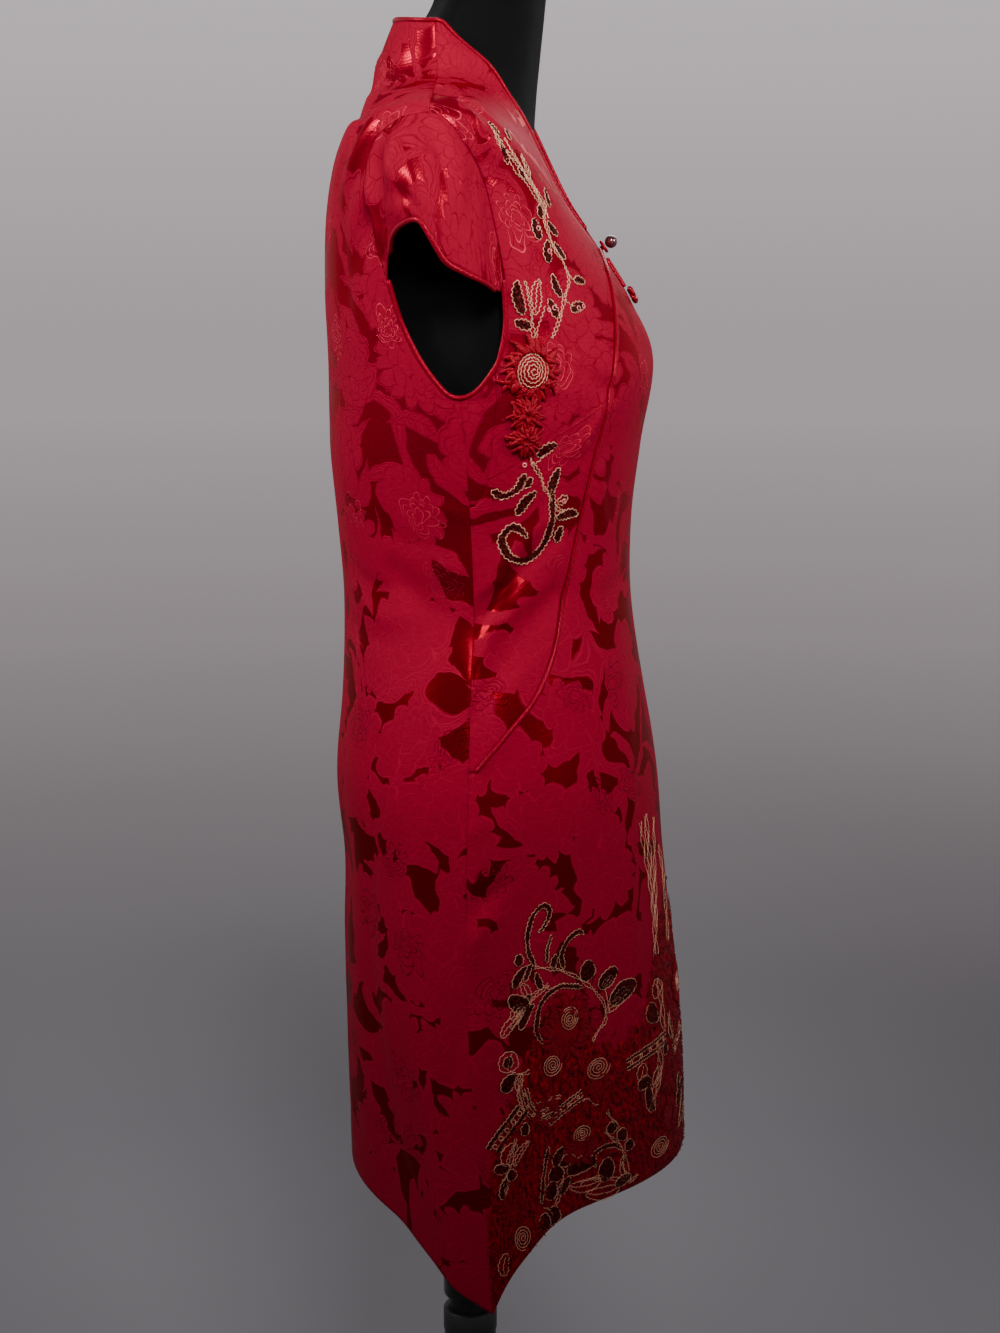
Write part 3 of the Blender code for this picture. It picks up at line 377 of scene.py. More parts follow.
def cells(tree, place, size, randomness, shift):
    """Repeats of a motif: its own measures across and up from its middle, and three chance values."""
    moved = tree.nodes.new("ShaderNodeVectorMath")
    moved.operation = "ADD"
    tree.links.new(place, moved.inputs[0])
    moved.inputs[1].default_value = (*shift, 0.0)
    shuffled = tree.nodes.new("ShaderNodeTexVoronoi")
    shuffled.voronoi_dimensions = "2D"
    shuffled.inputs["Scale"].default_value = 1 / size
    shuffled.inputs["Randomness"].default_value = randomness
    tree.links.new(moved.outputs[0], shuffled.inputs["Vector"])
    own = tree.nodes.new("ShaderNodeVectorMath")
    own.operation = "SUBTRACT"
    tree.links.new(moved.outputs[0], own.inputs[0])
    tree.links.new(shuffled.outputs["Position"], own.inputs[1])
    apart = tree.nodes.new("ShaderNodeSeparateXYZ")
    tree.links.new(own.outputs[0], apart.inputs[0])
    chance = tree.nodes.new("ShaderNodeSeparateColor")
    tree.links.new(shuffled.outputs["Color"], chance.inputs[0])
    return apart.outputs["X"], apart.outputs["Y"], chance.outputs


def larger(tree, first, *others):
    """The largest of some values."""
    for other in others:
        first = calc(tree, "MAXIMUM", first, other)
    return first


def petal_round(tree, x, y, spin, petals, notch, tip):
    """Reach over the edge of a round of uneven petals: below 1 inside; and the lines between them."""
    reach = calc(tree, "SQRT",
        calc(tree, "ADD", calc(tree, "MULTIPLY", x, x), calc(tree, "MULTIPLY", y, y)))
    angle = calc(tree, "ARCTAN2", y, x)
    uneven = calc(tree, "MULTIPLY", calc(tree, "SINE", calc(tree, "ADD", angle, spin)), 0.55)
    angle = calc(tree, "ADD", calc(tree, "ADD", angle, uneven), spin)
    wave = calc(tree, "ABSOLUTE", calc(tree, "COSINE", calc(tree, "MULTIPLY", angle, petals / 2)))
    edge = calc(tree, "MULTIPLY_ADD", calc(tree, "POWER", wave, 0.6), tip - notch, notch)
    return calc(tree, "DIVIDE", reach, edge), wave


def leaf_shape(tree, place, size, length, width, curve, shift):
    """Curved leaves: the leaf, and its ribs."""
    x, y, chance = cells(tree, place, size, 0.85, shift)
    lean = calc(tree, "MULTIPLY", chance[0], 6.28)
    cosine, sine = calc(tree, "COSINE", lean), calc(tree, "SINE", lean)
    along = calc(tree, "ADD", calc(tree, "MULTIPLY", x, cosine), calc(tree, "MULTIPLY", y, sine))
    off = calc(tree, "SUBTRACT", calc(tree, "MULTIPLY", y, cosine), calc(tree, "MULTIPLY", x, sine))
    bend = calc(tree, "MULTIPLY", calc(tree, "MULTIPLY", along, along), curve)
    off = calc(tree, "ABSOLUTE", calc(tree, "SUBTRACT", off, bend))
    span = calc(tree, "DIVIDE", along, length / 2)
    half = calc(tree, "SUBTRACT", 1.0, calc(tree, "MULTIPLY", span, span))
    half = calc(tree, "MULTIPLY",
        calc(tree, "MULTIPLY", half, calc(tree, "MULTIPLY_ADD", span, 0.4, 1.0)), width / 2)
    leaf = soft_step(tree, off, half, 0.0003)
    rib = soft_step(tree, off, 0.00030, 0.0002)
    edge = thin_line(tree, off, calc(tree, "SUBTRACT", half, 0.0009), 0.0003)
    slant = calc(tree, "SINE", calc(tree, "MULTIPLY", calc(tree, "SUBTRACT", along, off), 1300.0))
    side = calc(tree, "MULTIPLY", calc(tree, "GREATER_THAN", slant, 0.80), 0.6)
    return leaf, calc(tree, "MULTIPLY", leaf, larger(tree, rib, edge, side))


def jacquard_group():
    """The woven figure: full blooms, leaves and winding bands on satin, with bunches of loops."""
    group = bpy.data.node_groups.new("woven_figure", "ShaderNodeTree")
    group.interface.new_socket("Cut", in_out="INPUT", socket_type="NodeSocketVector")
    for name in ("Figure", "Line", "Floret", "Weave"):
        group.interface.new_socket(name, in_out="OUTPUT", socket_type="NodeSocketFloat")
    given = group.nodes.new("NodeGroupInput")
    result = group.nodes.new("NodeGroupOutput")
    place = given.outputs["Cut"]
    for scale, amount in ((24.0, 0.030), (95.0, 0.0065)):
        noise = group.nodes.new("ShaderNodeTexNoise")
        noise.inputs["Scale"].default_value = scale
        noise.inputs["Detail"].default_value = 0.5
        group.links.new(given.outputs["Cut"], noise.inputs["Vector"])
        bent = group.nodes.new("ShaderNodeVectorMath")
        bent.operation = "MULTIPLY_ADD"
        group.links.new(noise.outputs["Color"], bent.inputs[0])
        bent.inputs[1].default_value = (amount, amount, 0.0)
        group.links.new(place, bent.inputs[2])
        place = bent.outputs[0]

    # blooms of four rounds of petals, the inner ones set to one side
    x, y, chance = cells(group, place, 0.062, 0.75, (0.0, 0.0))
    spin = calc(group, "MULTIPLY", chance[0], 6.28)
    size = calc(group, "MULTIPLY_ADD", chance[1], 0.006, 0.0255)
    shift_x = calc(group, "MULTIPLY", calc(group, "COSINE", spin), 0.0035)
    shift_y = calc(group, "MULTIPLY", calc(group, "SINE", spin), 0.0035)
    bloom, lines = None, None
    for index, (petals, share) in enumerate(((9, 1.0), (7, 0.74), (6, 0.50), (5, 0.28))):
        own_x = calc(group, "DIVIDE", calc(group, "MULTIPLY_ADD", shift_x, float(index), x), size)
        own_y = calc(group, "DIVIDE", calc(group, "MULTIPLY_ADD", shift_y, float(index), y), size)
        reach, wave = petal_round(group, own_x, own_y, calc(group, "ADD", spin, index * 1.3), petals,
            0.80 * share, 1.08 * share)
        inside = soft_step(group, reach, 1.0, 0.012)
        line = thin_line(group, reach, 0.95, 0.016)
        gap = calc(group, "MULTIPLY", soft_step(group, wave, 0.10, 0.05),
            calc(group, "GREATER_THAN", reach, 0.62))
        line = calc(group, "MULTIPLY", larger(group, line, gap), inside)
        if bloom is None:
            bloom, lines = inside, line
        else:
            lines = calc(group, "ADD",
                calc(group, "MULTIPLY", lines, calc(group, "SUBTRACT", 1.0, inside)), line)
    first, first_ribs = leaf_shape(group, place, 0.047, 0.050, 0.0150, 11.0, (0.013, 0.021))
    second, second_ribs = leaf_shape(group, place, 0.058, 0.070, 0.0110, -7.0, (0.041, 0.005))

    wander = group.nodes.new("ShaderNodeTexNoise")
    wander.inputs["Scale"].default_value = 12.0
    wander.inputs["Detail"].default_value = 0.0
    group.links.new(place, wander.inputs["Vector"])
    band = calc(group, "ABSOLUTE", calc(group, "SUBTRACT", wander.outputs[0], 0.5))
    branch = soft_step(group, band, 0.030, 0.003)
    branch_line = calc(group, "MULTIPLY",
        larger(group, thin_line(group, band, 0.024, 0.0018), thin_line(group, band, 0.010, 0.0018)), branch)

    not_bloom = calc(group, "SUBTRACT", 1.0, bloom)
    not_first = calc(group, "MULTIPLY", not_bloom, calc(group, "SUBTRACT", 1.0, first))
    not_second = calc(group, "MULTIPLY", not_first, calc(group, "SUBTRACT", 1.0, second))
    group.links.new(larger(group, bloom, first, second, branch), result.inputs["Figure"])
    total = calc(group, "ADD", lines, calc(group, "MULTIPLY", first_ribs, not_bloom))
    total = calc(group, "ADD", total, calc(group, "MULTIPLY", second_ribs, not_first))
    total = calc(group, "ADD", total, calc(group, "MULTIPLY", branch_line, not_second))
    group.links.new(total, result.inputs["Line"])

    # florets: rounds of open loops in thin line
    x, y, chance = cells(group, place, 0.086, 0.7, (0.031, 0.012))
    spin = calc(group, "MULTIPLY", chance[0], 6.28)
    floret = None
    for index, (petals, share) in enumerate(((7, 0.0165), (6, 0.0125), (5, 0.0085), (4, 0.0050))):
        own_x, own_y = calc(group, "DIVIDE", x, share), calc(group, "DIVIDE", y, share)
        twist = calc(group, "ADD", spin, index * 0.9)
        reach, wave = petal_round(group, own_x, own_y, twist, petals, 0.45, 1.05)
        line = thin_line(group, reach, 0.93, 0.00030 / share)
        floret = line if floret is None else larger(group, floret, line)
    group.links.new(floret, result.inputs["Floret"])

    weave = group.nodes.new("ShaderNodeTexWave")
    weave.wave_type = "BANDS"
    weave.bands_direction = "DIAGONAL"
    weave.inputs["Scale"].default_value = 190.0
    weave.inputs["Distortion"].default_value = 0.6
    group.links.new(given.outputs["Cut"], weave.inputs["Vector"])
    group.links.new(weave.outputs["Fac"], result.inputs["Weave"])
    return group


def new_material(name, roughness, metallic=0.0, sheen=0.0, tint=(1, 1, 1), specular=0.5, edge=(1, 1, 1)):
    """A material with its Principled shader and its constant finish."""
    material = bpy.data.materials.new(name)
    material.use_nodes = True
    shader = material.node_tree.nodes["Principled BSDF"]
    shader.inputs["Roughness"].default_value = roughness
    shader.inputs["Metallic"].default_value = metallic
    shader.inputs["Sheen Weight"].default_value = sheen
    shader.inputs["Sheen Tint"].default_value = (*tint, 1)
    shader.inputs["Sheen Roughness"].default_value = 0.35
    shader.inputs["Specular IOR Level"].default_value = specular
    shader.inputs["Specular Tint"].default_value = (*edge, 1)
    return material, material.node_tree, shader


def mixed(tree, share, low, high):
    """A colour between two, by a share from 0 to 1."""
    node = tree.nodes.new("ShaderNodeMix")
    node.data_type = "RGBA"
    tree.links.new(share, node.inputs["Factor"])
    for socket, value in ((node.inputs[6], low), (node.inputs[7], high)):
        if isinstance(value, bpy.types.NodeSocket):
            tree.links.new(value, socket)
        else:
            socket.default_value = (*value, 1)
    return node.outputs[2]


def bumped(tree, shader, height, distance, strength=1.0):
    """Raises a height in metres-scale relief on the shader's normal."""
    node = tree.nodes.new("ShaderNodeBump")
    node.inputs["Strength"].default_value = strength
    node.inputs["Distance"].default_value = distance
    tree.links.new(height, node.inputs["Height"])
    tree.links.new(node.outputs["Normal"], shader.inputs["Normal"])


woven_figure = jacquard_group()
jacquard, tree, shader = new_material(
    "crimson_jacquard_satin", 0.5, sheen=0.0, tint=(1.0, 0.05, 0.12), specular=0.08, edge=(1.0, 0.10, 0.18),
)
shader.inputs["IOR"].default_value = 1.33
cut_map = tree.nodes.new("ShaderNodeUVMap")
cut_map.uv_map = "cut"
figure = tree.nodes.new("ShaderNodeGroup")
figure.node_tree = woven_figure
tree.links.new(cut_map.outputs[0], figure.inputs["Cut"])
crepe = tree.nodes.new("ShaderNodeTexNoise")
crepe.inputs["Scale"].default_value = 420.0
crepe.inputs["Detail"].default_value = 3.0
stretch = tree.nodes.new("ShaderNodeMapping")
stretch.inputs["Scale"].default_value = (0.45, 1.6, 1.0)
tree.links.new(cut_map.outputs[0], stretch.inputs["Vector"])
tree.links.new(stretch.outputs[0], crepe.inputs["Vector"])
# A share of the height up the cut, 0 below 0.98 m and 1 above 1.16 m: it mixes the painted light and shade
# of the satin ground and of the floret loops, and turns the lines of the figure from light below to dark
# above.
height_up = tree.nodes.new("ShaderNodeSeparateXYZ")
tree.links.new(cut_map.outputs[0], height_up.inputs[0])
upper = tree.nodes.new("ShaderNodeMapRange")
upper.inputs["From Min"].default_value = 0.98
upper.inputs["From Max"].default_value = 1.16
tree.links.new(height_up.outputs["Y"], upper.inputs["Value"])
# Painted light and shade: the satin ground has a shaded colour down the skirt and a lit colour up the
# bodice, standing in for light that falls from above.
ground_in_painted_shade = mixed(tree, crepe.outputs[0], (0.105, 0.0001, 0.0038), (0.145, 0.0003, 0.0056))
ground_in_painted_light = mixed(tree, crepe.outputs[0], (0.210, 0.0022, 0.0130), (0.330, 0.0050, 0.0240))
ground = mixed(tree, calc(tree, "MULTIPLY", upper.outputs["Result"], 0.62), ground_in_painted_shade, ground_in_painted_light)
raised = mixed(tree, crepe.outputs[0], (0.185, 0.0024, 0.0140), (0.285, 0.0046, 0.0230))
colour = mixed(tree, figure.outputs["Figure"], ground, raised)
line_colour = mixed(tree, upper.outputs["Result"], (0.330, 0.0070, 0.0300), (0.110, 0.0004, 0.0056))
colour = mixed(tree, calc(tree, "MULTIPLY", figure.outputs["Line"], 0.55), colour, line_colour)
# Painted light and shade: the woven floret loops are nearly black down the skirt and painted bright pink up
# the bodice, as if lit from above.
loop_colour_with_painted_light = mixed(tree, upper.outputs["Result"], (0.045, 0.0002, 0.0020), (0.640, 0.0350, 0.0700))
colour = mixed(tree, calc(tree, "MULTIPLY", figure.outputs["Floret"], 0.75), colour, loop_colour_with_painted_light)
tree.links.new(colour, shader.inputs["Base Color"])
gloss = calc(tree, "MULTIPLY_ADD", figure.outputs["Figure"], 0.28, 0.32)
tree.links.new(gloss, shader.inputs["Roughness"])
tree.links.new(calc(tree, "MULTIPLY_ADD", figure.outputs["Figure"], -0.50, 0.60), shader.inputs["Metallic"])
relief = calc(tree, "SUBTRACT", figure.outputs["Figure"],
    calc(tree, "MULTIPLY", figure.outputs["Line"], 0.5))
relief = calc(tree, "ADD", relief, calc(tree, "MULTIPLY", figure.outputs["Floret"], 1.2))
relief = calc(tree, "ADD", relief, calc(tree, "MULTIPLY", figure.outputs["Weave"], 0.22))
relief = calc(tree, "ADD", relief, calc(tree, "MULTIPLY", crepe.outputs[0], 0.8))
bumped(tree, shader, relief, 0.00022, 0.8)


def dress_panel(name, start, end, grain):
    """A cut piece of the dress from edge to edge, with its seam allowances turned under."""
    start, end = fine_edges(start, end, CLOTH_GRID)
    widest = np.linalg.norm(on_rows(BODY_ROWS, *start.T) - on_rows(BODY_ROWS, *end.T), axis=1).max()
    columns = max(int(widest * 1.25 / CLOTH_GRID), 4)
    spots, places, lengths = spots_between(start, end, columns)
    turn, level = spots[..., 0], spots[..., 1]
    turned_under = np.exp(-((places / 0.0016) ** 2)) + np.exp(-(((lengths - places) / 0.0016) ** 2))
    aside = np.abs((turn + 180) % 360 - 180)
    s = looked_up(ACROSS, aside, level) * np.where((turn + 180) % 360 >= 180, 1, -1)
    if grain == 180:
        s = (looked_up(ACROSS, np.full(turn.shape, 180.0), level) - np.abs(s)) * np.sign(-s)
    v = looked_up(UP, aside, level)
    hem = np.exp(-((v - looked_up(UP, aside, level * 0)) / 0.0011) ** 2)
    outer, normal = on_dress(turn, level, -0.0005 * turned_under - 0.0003 * hem)
    piece = add_piece(name + "_cloth", grid_mesh(name + "_cloth", outer, np.stack((s, v), -1)), jacquard,
                      "crimson_jacquard_satin", name)
    give_thickness(piece, CLOTH_THICKNESS)
    return piece


OUTER_SIDE = SIDE_LOW + SIDE_HIGH + CURVED_SEAM + ARMHOLE_FRONT + SHOULDER_SEAM
dress_panel("front_main", SIDE_LOW + WRAP_EDGE + left_of(NECK_EDGE), left_of(OUTER_SIDE), 0)
dress_panel("front_upper_right", OUTER_SIDE[1:], WRAP_EDGE + NECK_EDGE, 0)
BACK_SIDE = SIDE_LOW + SIDE_HIGH + SIDE_UNDER_ARM + ARMHOLE_BACK + SHOULDER_SEAM
BACK_LEFT = [[(360 - turn, level) for turn, level in part] for part in BACK_SIDE]
dress_panel("back", BACK_LEFT, BACK_SIDE, 180)
dress_panel("side_front_right", SIDE_UNDER_ARM, CURVED_SEAM, 0)
dress_panel("side_front_left", left_of(CURVED_SEAM), left_of(SIDE_UNDER_ARM), 0)

# The cap sleeves. Each is a curved piece of the same satin, set into the upper half of the armhole
# with a little fullness, so that soft folds run from the end of the shoulder to its hem.

# Free edge of the right cap sleeve, from its front end to its back end: x, y, z.
SLEEVE_HEM = np.array([
    (0.0440, -0.1790, 1.2420), (0.0360, -0.1980, 1.2490), (0.0240, -0.2110, 1.2550),
    (0.0125, -0.2195, 1.2620), (0.0030, -0.2236, 1.2770), (-0.0060, -0.2215, 1.2885),
    (-0.0180, -0.2105, 1.2870), (-0.0280, -0.1950, 1.2790), (-0.0325, -0.1800, 1.2620),
])
SLEEVE_SEAM = np.array(ARMHOLE_FRONT[0][2:] + ARMHOLE_BACK[0][-2:1:-1], float)
SLEEVE_CROWN, SLEEVE_RISE = 0.0150, 0.0080
SleeveFold = namedtuple("SleeveFold", "row_a share_a row_b share_b width height")
# Rows count along the armhole from the front, shares from the seam to the hem.
SLEEVE_FOLDS = [
    SleeveFold(4.35, 0.02, 5.6, 0.75, 0.0048, 0.0045), SleeveFold(5.0, 0.02, 6.6, 0.62, 0.0062, -0.0078),
    SleeveFold(5.8, 0.02, 7.4, 0.45, 0.0050, 0.0040), SleeveFold(6.5, 0.25, 7.4, 0.90, 0.0050, -0.0020),
    SleeveFold(3.9, 0.02, 3.5, 0.60, 0.0048, -0.0036), SleeveFold(3.2, 0.02, 2.7, 0.65, 0.0052, 0.0028),
    SleeveFold(2.2, 0.10, 1.5, 0.85, 0.0060, 0.0014), SleeveFold(5.6, 0.55, 4.7, 1.00, 0.0055, -0.0018),
    SleeveFold(0.9, 0.15, 0.7, 0.90, 0.0050, -0.0010), SleeveFold(4.6, 0.45, 4.0, 0.95, 0.0060, 0.0014),
]
SLEEVE_ROWS, SLEEVE_COLUMNS = 57, 30


def sleeve_net(side):
    """Points and flat measures of a cap sleeve, its rows from front to back and columns to the hem."""
    level = np.linspace(0, 8, SLEEVE_ROWS)
    seam_spots = rows_at(SLEEVE_SEAM, level)
    seam = on_dress(*seam_spots.T)[0] if side > 0 else on_dress(-seam_spots[:, 0], seam_spots[:, 1])[0]
    seam = seam * (1, side, 1)
    hem = rows_at(SLEEVE_HEM, level)
    crown = np.sin(math.pi * level / 8)[:, None]
    middle = (seam + hem) / 2 + crown * np.array((0, -SLEEVE_CROWN, SLEEVE_RISE))
    reach = np.linalg.norm(hem - seam, axis=1)[:, None, None]
    t = np.linspace(0, 1, SLEEVE_COLUMNS)[None, :, None]
    t = 0.0001 / reach + (1 - 0.0001 / reach) * t
    points = seam[:, None] * (1 - t) ** 2 + middle[:, None] * 2 * t * (1 - t) + hem[:, None] * t * t
    outward = unit(np.cross(np.gradient(points, axis=0), np.gradient(points, axis=1)))
    length = np.linalg.norm(np.diff(points, axis=1),
        axis=-1).mean(axis=1)[:, None] * np.arange(SLEEVE_COLUMNS)
    lift = np.zeros(points.shape[:2])
    for fold in SLEEVE_FOLDS:
        along = np.array(((fold.row_b - fold.row_a) * 0.011, (fold.share_b - fold.share_a) * 0.075))
        spot = np.stack((np.broadcast_to((level[:, None] - fold.row_a) * 0.011, lift.shape),
                         np.broadcast_to((t[..., 0] - fold.share_a) * 0.075, lift.shape)), -1)
        share = np.clip(spot @ along / (along @ along), 0, 1)
        away = np.linalg.norm(spot - share[..., None] * along, axis=-1) / fold.width
        lift += fold.height * np.sin(math.pi * np.clip(share * 0.85 + 0.12, 0, 1)) * np.exp(-1.6 * away
            * away)
    calm = np.clip(np.minimum(t[..., 0] * 6, (1 - t[..., 0]) * 5), 0,
        1) * np.clip(np.minimum(level, 8 - level) * 1.5, 0, 1)[:, None]
    roll = -0.0003 * np.exp(-((length / 0.0018) ** 2))
    points = points + outward * (lift * calm + roll)[..., None]
    around = np.concatenate(([0], np.cumsum(np.linalg.norm(np.diff(points[:, 12], axis=0), axis=1))))
    flat = np.stack((np.broadcast_to(around[:, None], lift.shape) + 0.21, 1.37 - length), -1)
    return points * (1, side, 1), flat


for side, word in ((1, "right"), (-1, "left")):
    name = "cap_sleeve_" + word
    points, flat = sleeve_net(side)
    piece = add_piece(name + "_cloth", grid_mesh(name + "_cloth", points, flat, turned=side > 0), jacquard,
                      "crimson_jacquard_satin", name)
    give_thickness(piece, CLOTH_THICKNESS)

# Bindings and piping. Bias strips of plain satin are rolled over the free edges of the neck,
# armholes and sleeves and stitched in the ditch, and a covered cord finishes the wrap edge.
plain_satin, tree, shader = new_material(
    "crimson_plain_satin", 0.42, metallic=0.20, sheen=0.10, tint=(1.0, 0.10, 0.16), specular=0.3,
    edge=(1.0, 0.15, 0.2),
)
own_map = tree.nodes.new("ShaderNodeUVMap")
own_map.uv_map = "cut"
strip = tree.nodes.new("ShaderNodeTexNoise")
strip.inputs["Scale"].default_value = 260.0
strip.inputs["Detail"].default_value = 4.0
tree.links.new(own_map.outputs[0], strip.inputs["Vector"])
tree.links.new(mixed(tree, strip.outputs[0], (0.150, 0.0004, 0.0070), (0.250, 0.0015, 0.0150)),
    shader.inputs["Base Color"])
twist = tree.nodes.new("ShaderNodeTexWave")
twist.bands_direction = "DIAGONAL"
twist.inputs["Scale"].default_value = 150.0
twist.inputs["Distortion"].default_value = 1.5
tree.links.new(own_map.outputs[0], twist.inputs["Vector"])
tree.links.new(calc(tree, "MULTIPLY_ADD", twist.outputs["Fac"], 0.10, 0.32), shader.inputs["Roughness"])
bumped(tree, shader, calc(tree, "ADD", twist.outputs["Fac"], strip.outputs[0]), 0.00015, 0.6)


def even_line(points, others, step):
    """A line at even steps along points, with other values carried with them."""
    length = np.concatenate(([0], np.cumsum(np.linalg.norm(np.diff(points, axis=0), axis=1))))
    at = np.linspace(0, length[-1], max(int(length[-1] / step), 4) + 1)
    carried = [np.stack([np.interp(at, length, value[:, k]) for k in range(value.shape[1])], -1)
        for value in [points] + others]
    return carried, at


def beside(points, normals, away):
    """A line moved sideways in the surface that it lies on."""
    along = unit(np.gradient(points, axis=0))
    return points + unit(np.cross(normals, along)) * away


def rolled_strip(name, points, normals, half_width, half_height, slot, *nodes):
    """A rolled or corded strip along a line: a flattened round with a stitched ditch on each side."""
    (points, normals), at = even_line(points, [normals], 0.0016)
    along = unit(np.gradient(points, axis=0))
    aside = unit(np.cross(normals, along))
    up = np.cross(along, aside)
    angle = np.linspace(0, 2 * math.pi, 17)
    pinch = 1 - 0.22 * np.exp(-((np.abs(np.sin(angle))
        / 0.35) ** 2)) * (np.arange(len(at)) % 2)[:, None] * 0.35
    ends = np.clip(np.minimum(np.arange(len(at)), len(at) - 1 - np.arange(len(at))) / 1.5 + 0.35, 0,
        1)[:, None]
    wide = half_width * np.cos(angle)[None, :] * pinch * ends
    high = half_height * np.sin(angle)[None, :] * pinch * ends
    rings = points[:, None] + aside[:, None] * wide[..., None] + up[:, None] * high[..., None]
    flat = np.stack((np.broadcast_to(angle[None, :] * half_width, wide.shape),
        np.broadcast_to(at[:, None], wide.shape)), -1)
    mesh = grid_mesh(name, rings, flat, turned=True)
    shape = bmesh.new()
    shape.from_mesh(mesh)
    bmesh.ops.remove_doubles(shape, verts=shape.verts[:], dist=0.00001)
    bmesh.ops.holes_fill(shape, edges=[edge for edge in shape.edges if edge.is_boundary], sides=20)
    bmesh.ops.recalc_face_normals(shape, faces=shape.faces[:])
    shape.to_mesh(mesh)
    shape.free()
    mesh.shade_smooth()
    return add_piece(name, mesh, plain_satin, slot, *nodes)


def edge_line(spots, steps, depth):
    """A dense line of the dress's edge with its normals, a little below the outer face."""
    fine = smooth_line(spots, [steps] * (len(spots) - 1))
    return on_dress(fine[:, 0], fine[:, 1], np.full(len(fine), -depth))


BINDING_HALF, BINDING_OUT = 0.0016, 0.0012
neck_right, neck_up = edge_line(NECK_EDGE[0], 8, 0.0004)
neck_left, neck_up_left = edge_line([(-turn, level) for turn, level in NECK_EDGE[0]][::-1], 8, 0.0004)
collar_turn = np.arange(82, 279, 2.0)
collar, collar_out = on_dress(collar_turn, np.full(len(collar_turn), 16.0),
    np.full(len(collar_turn), -0.0004))
below, _ = on_dress(collar_turn, np.full(len(collar_turn), 15.8), np.full(len(collar_turn), -0.0004))
neck = np.concatenate((
    beside(neck_right, neck_up, -BINDING_OUT), collar + unit(collar - below) * BINDING_OUT,
    beside(neck_left, neck_up_left, -BINDING_OUT),
))
rolled_strip("neckline_rolled_binding", neck, np.concatenate((neck_up, collar_out, neck_up_left)),
             0.0018, BINDING_HALF, "crimson_plain_satin", "neckline_binding")

UNDER_ARM = ARMHOLE_BACK[0][2::-1] + [SIDE_UNDER_ARM[0][-1], CURVED_SEAM[0][-1]] + ARMHOLE_FRONT[0][:3]
for side, word in ((1, "right"), (-1, "left")):
    line, out = edge_line([(turn * side, level) for turn, level in UNDER_ARM], 8, 0.0004)
    line = beside(line, out, BINDING_OUT * side)
    rolled_strip("armhole_rolled_binding_" + word, line, out, 0.0018, BINDING_HALF,
                 "crimson_plain_satin", "armhole_binding_" + word)
    points, _ = sleeve_net(side)
    hem, before = points[:, -1], points[:, -3]
    out = unit(np.cross(np.gradient(hem, axis=0), hem - before)) * side
    rolled_strip("sleeve_rolled_piping_" + word,
        (hem + unit(hem - before) * 0.0012 - out * 0.0004)[2:-2], out[2:-2],
                 0.0020, 0.0017, "crimson_plain_satin", "sleeve_piping_" + word)

line, out = edge_line(WRAP_EDGE[0], 8, 0.0)
rolled_strip("wrap_corded_piping", line + out * 0.0007, out, 0.0018, 0.0015, "crimson_plain_satin",
    "wrap_piping")

# Darts. The bust dart and the long waist darts of the left front and the back are folded inside and
# sewn, which leaves a fine pressed ridge. They are drawn as narrow rolls of the plain satin.
Dart = namedtuple("Dart", "name spots")
DARTS = [
    Dart("bust_dart_right", [(85, 7.93), (73, 8.20), (62.5, 8.45), (45.5, 8.71)]),
    Dart("bust_dart_left", [(-85, 7.93), (-73, 8.20), (-62.5, 8.45), (-45.5, 8.71)]),
    Dart("back_dart_right", [(139, 4.6), (143, 5.6), (145, 6.6), (144, 7.6), (140, 8.9)]),
    Dart("back_dart_left", [(221, 4.6), (217, 5.6), (215, 6.6), (216, 7.6), (220, 8.9)]),
    Dart("front_dart_left", [(-36, 4.8), (-38, 5.8), (-39, 6.6), (-38, 7.6)]),
]
for dart in DARTS:
    line, out = edge_line(dart.spots, 24, 0.0)
    rolled_strip(dart.name, line - out * 0.00022, out, 0.00070, 0.00040, "crimson_jacquard_satin")

# Fastening at the low point of the neck. A dark glass bead on a satin shank passes through a satin
# loop, with a folded satin tab and a knot of rolled cord below it.
bead_glass, tree, shader = new_material("dark_glass_bead", 0.08, specular=0.8)
shader.inputs["Coat Weight"].default_value = 0.6
swirl = tree.nodes.new("ShaderNodeTexNoise")
swirl.inputs["Scale"].default_value = 420.0
spot = tree.nodes.new("ShaderNodeTexCoord")
tree.links.new(spot.outputs["Object"], swirl.inputs["Vector"])
tree.links.new(mixed(tree, swirl.outputs[0], (0.012, 0.003, 0.004), (0.110, 0.020, 0.026)),
    shader.inputs["Base Color"])


def node_frame(node):
    """The middle of a node's box and its half sizes."""
    low, high = (np.array(corner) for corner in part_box(node))
    return (low + high) / 2, (high - low) / 2


def round_mesh(name, profile, steps, shift=(0, 0, 0)):
    """A turned piece about Z: radius and height pairs from top to bottom."""
    angle = np.linspace(0, 2 * math.pi, steps + 1)
    profile = np.array(profile, float)
    points = np.stack((
        profile[:, None, 0] * np.cos(angle)[None], profile[:, None, 0] * np.sin(angle)[None],
        np.broadcast_to(profile[:, None, 1], (len(profile), steps + 1)),
    ), -1) + np.array(shift)
    run = np.concatenate(([0], np.cumsum(np.linalg.norm(np.diff(profile, axis=0), axis=1))))
    flat = np.stack((np.broadcast_to(angle[None] * 0.02, points.shape[:2]),
        np.broadcast_to(run[:, None], points.shape[:2])), -1)
    mesh = grid_mesh(name, points, flat, turned=True)
    shape = bmesh.new()
    shape.from_mesh(mesh)
    bmesh.ops.remove_doubles(shape, verts=shape.verts[:], dist=0.000005)
    bmesh.ops.dissolve_degenerate(shape, dist=0.000001, edges=shape.edges[:])
    bmesh.ops.recalc_face_normals(shape, faces=shape.faces[:])
    shape.to_mesh(mesh)
    shape.free()
    mesh.shade_smooth()
    mesh.set_sharp_from_angle(angle=math.radians(40))
    return mesh


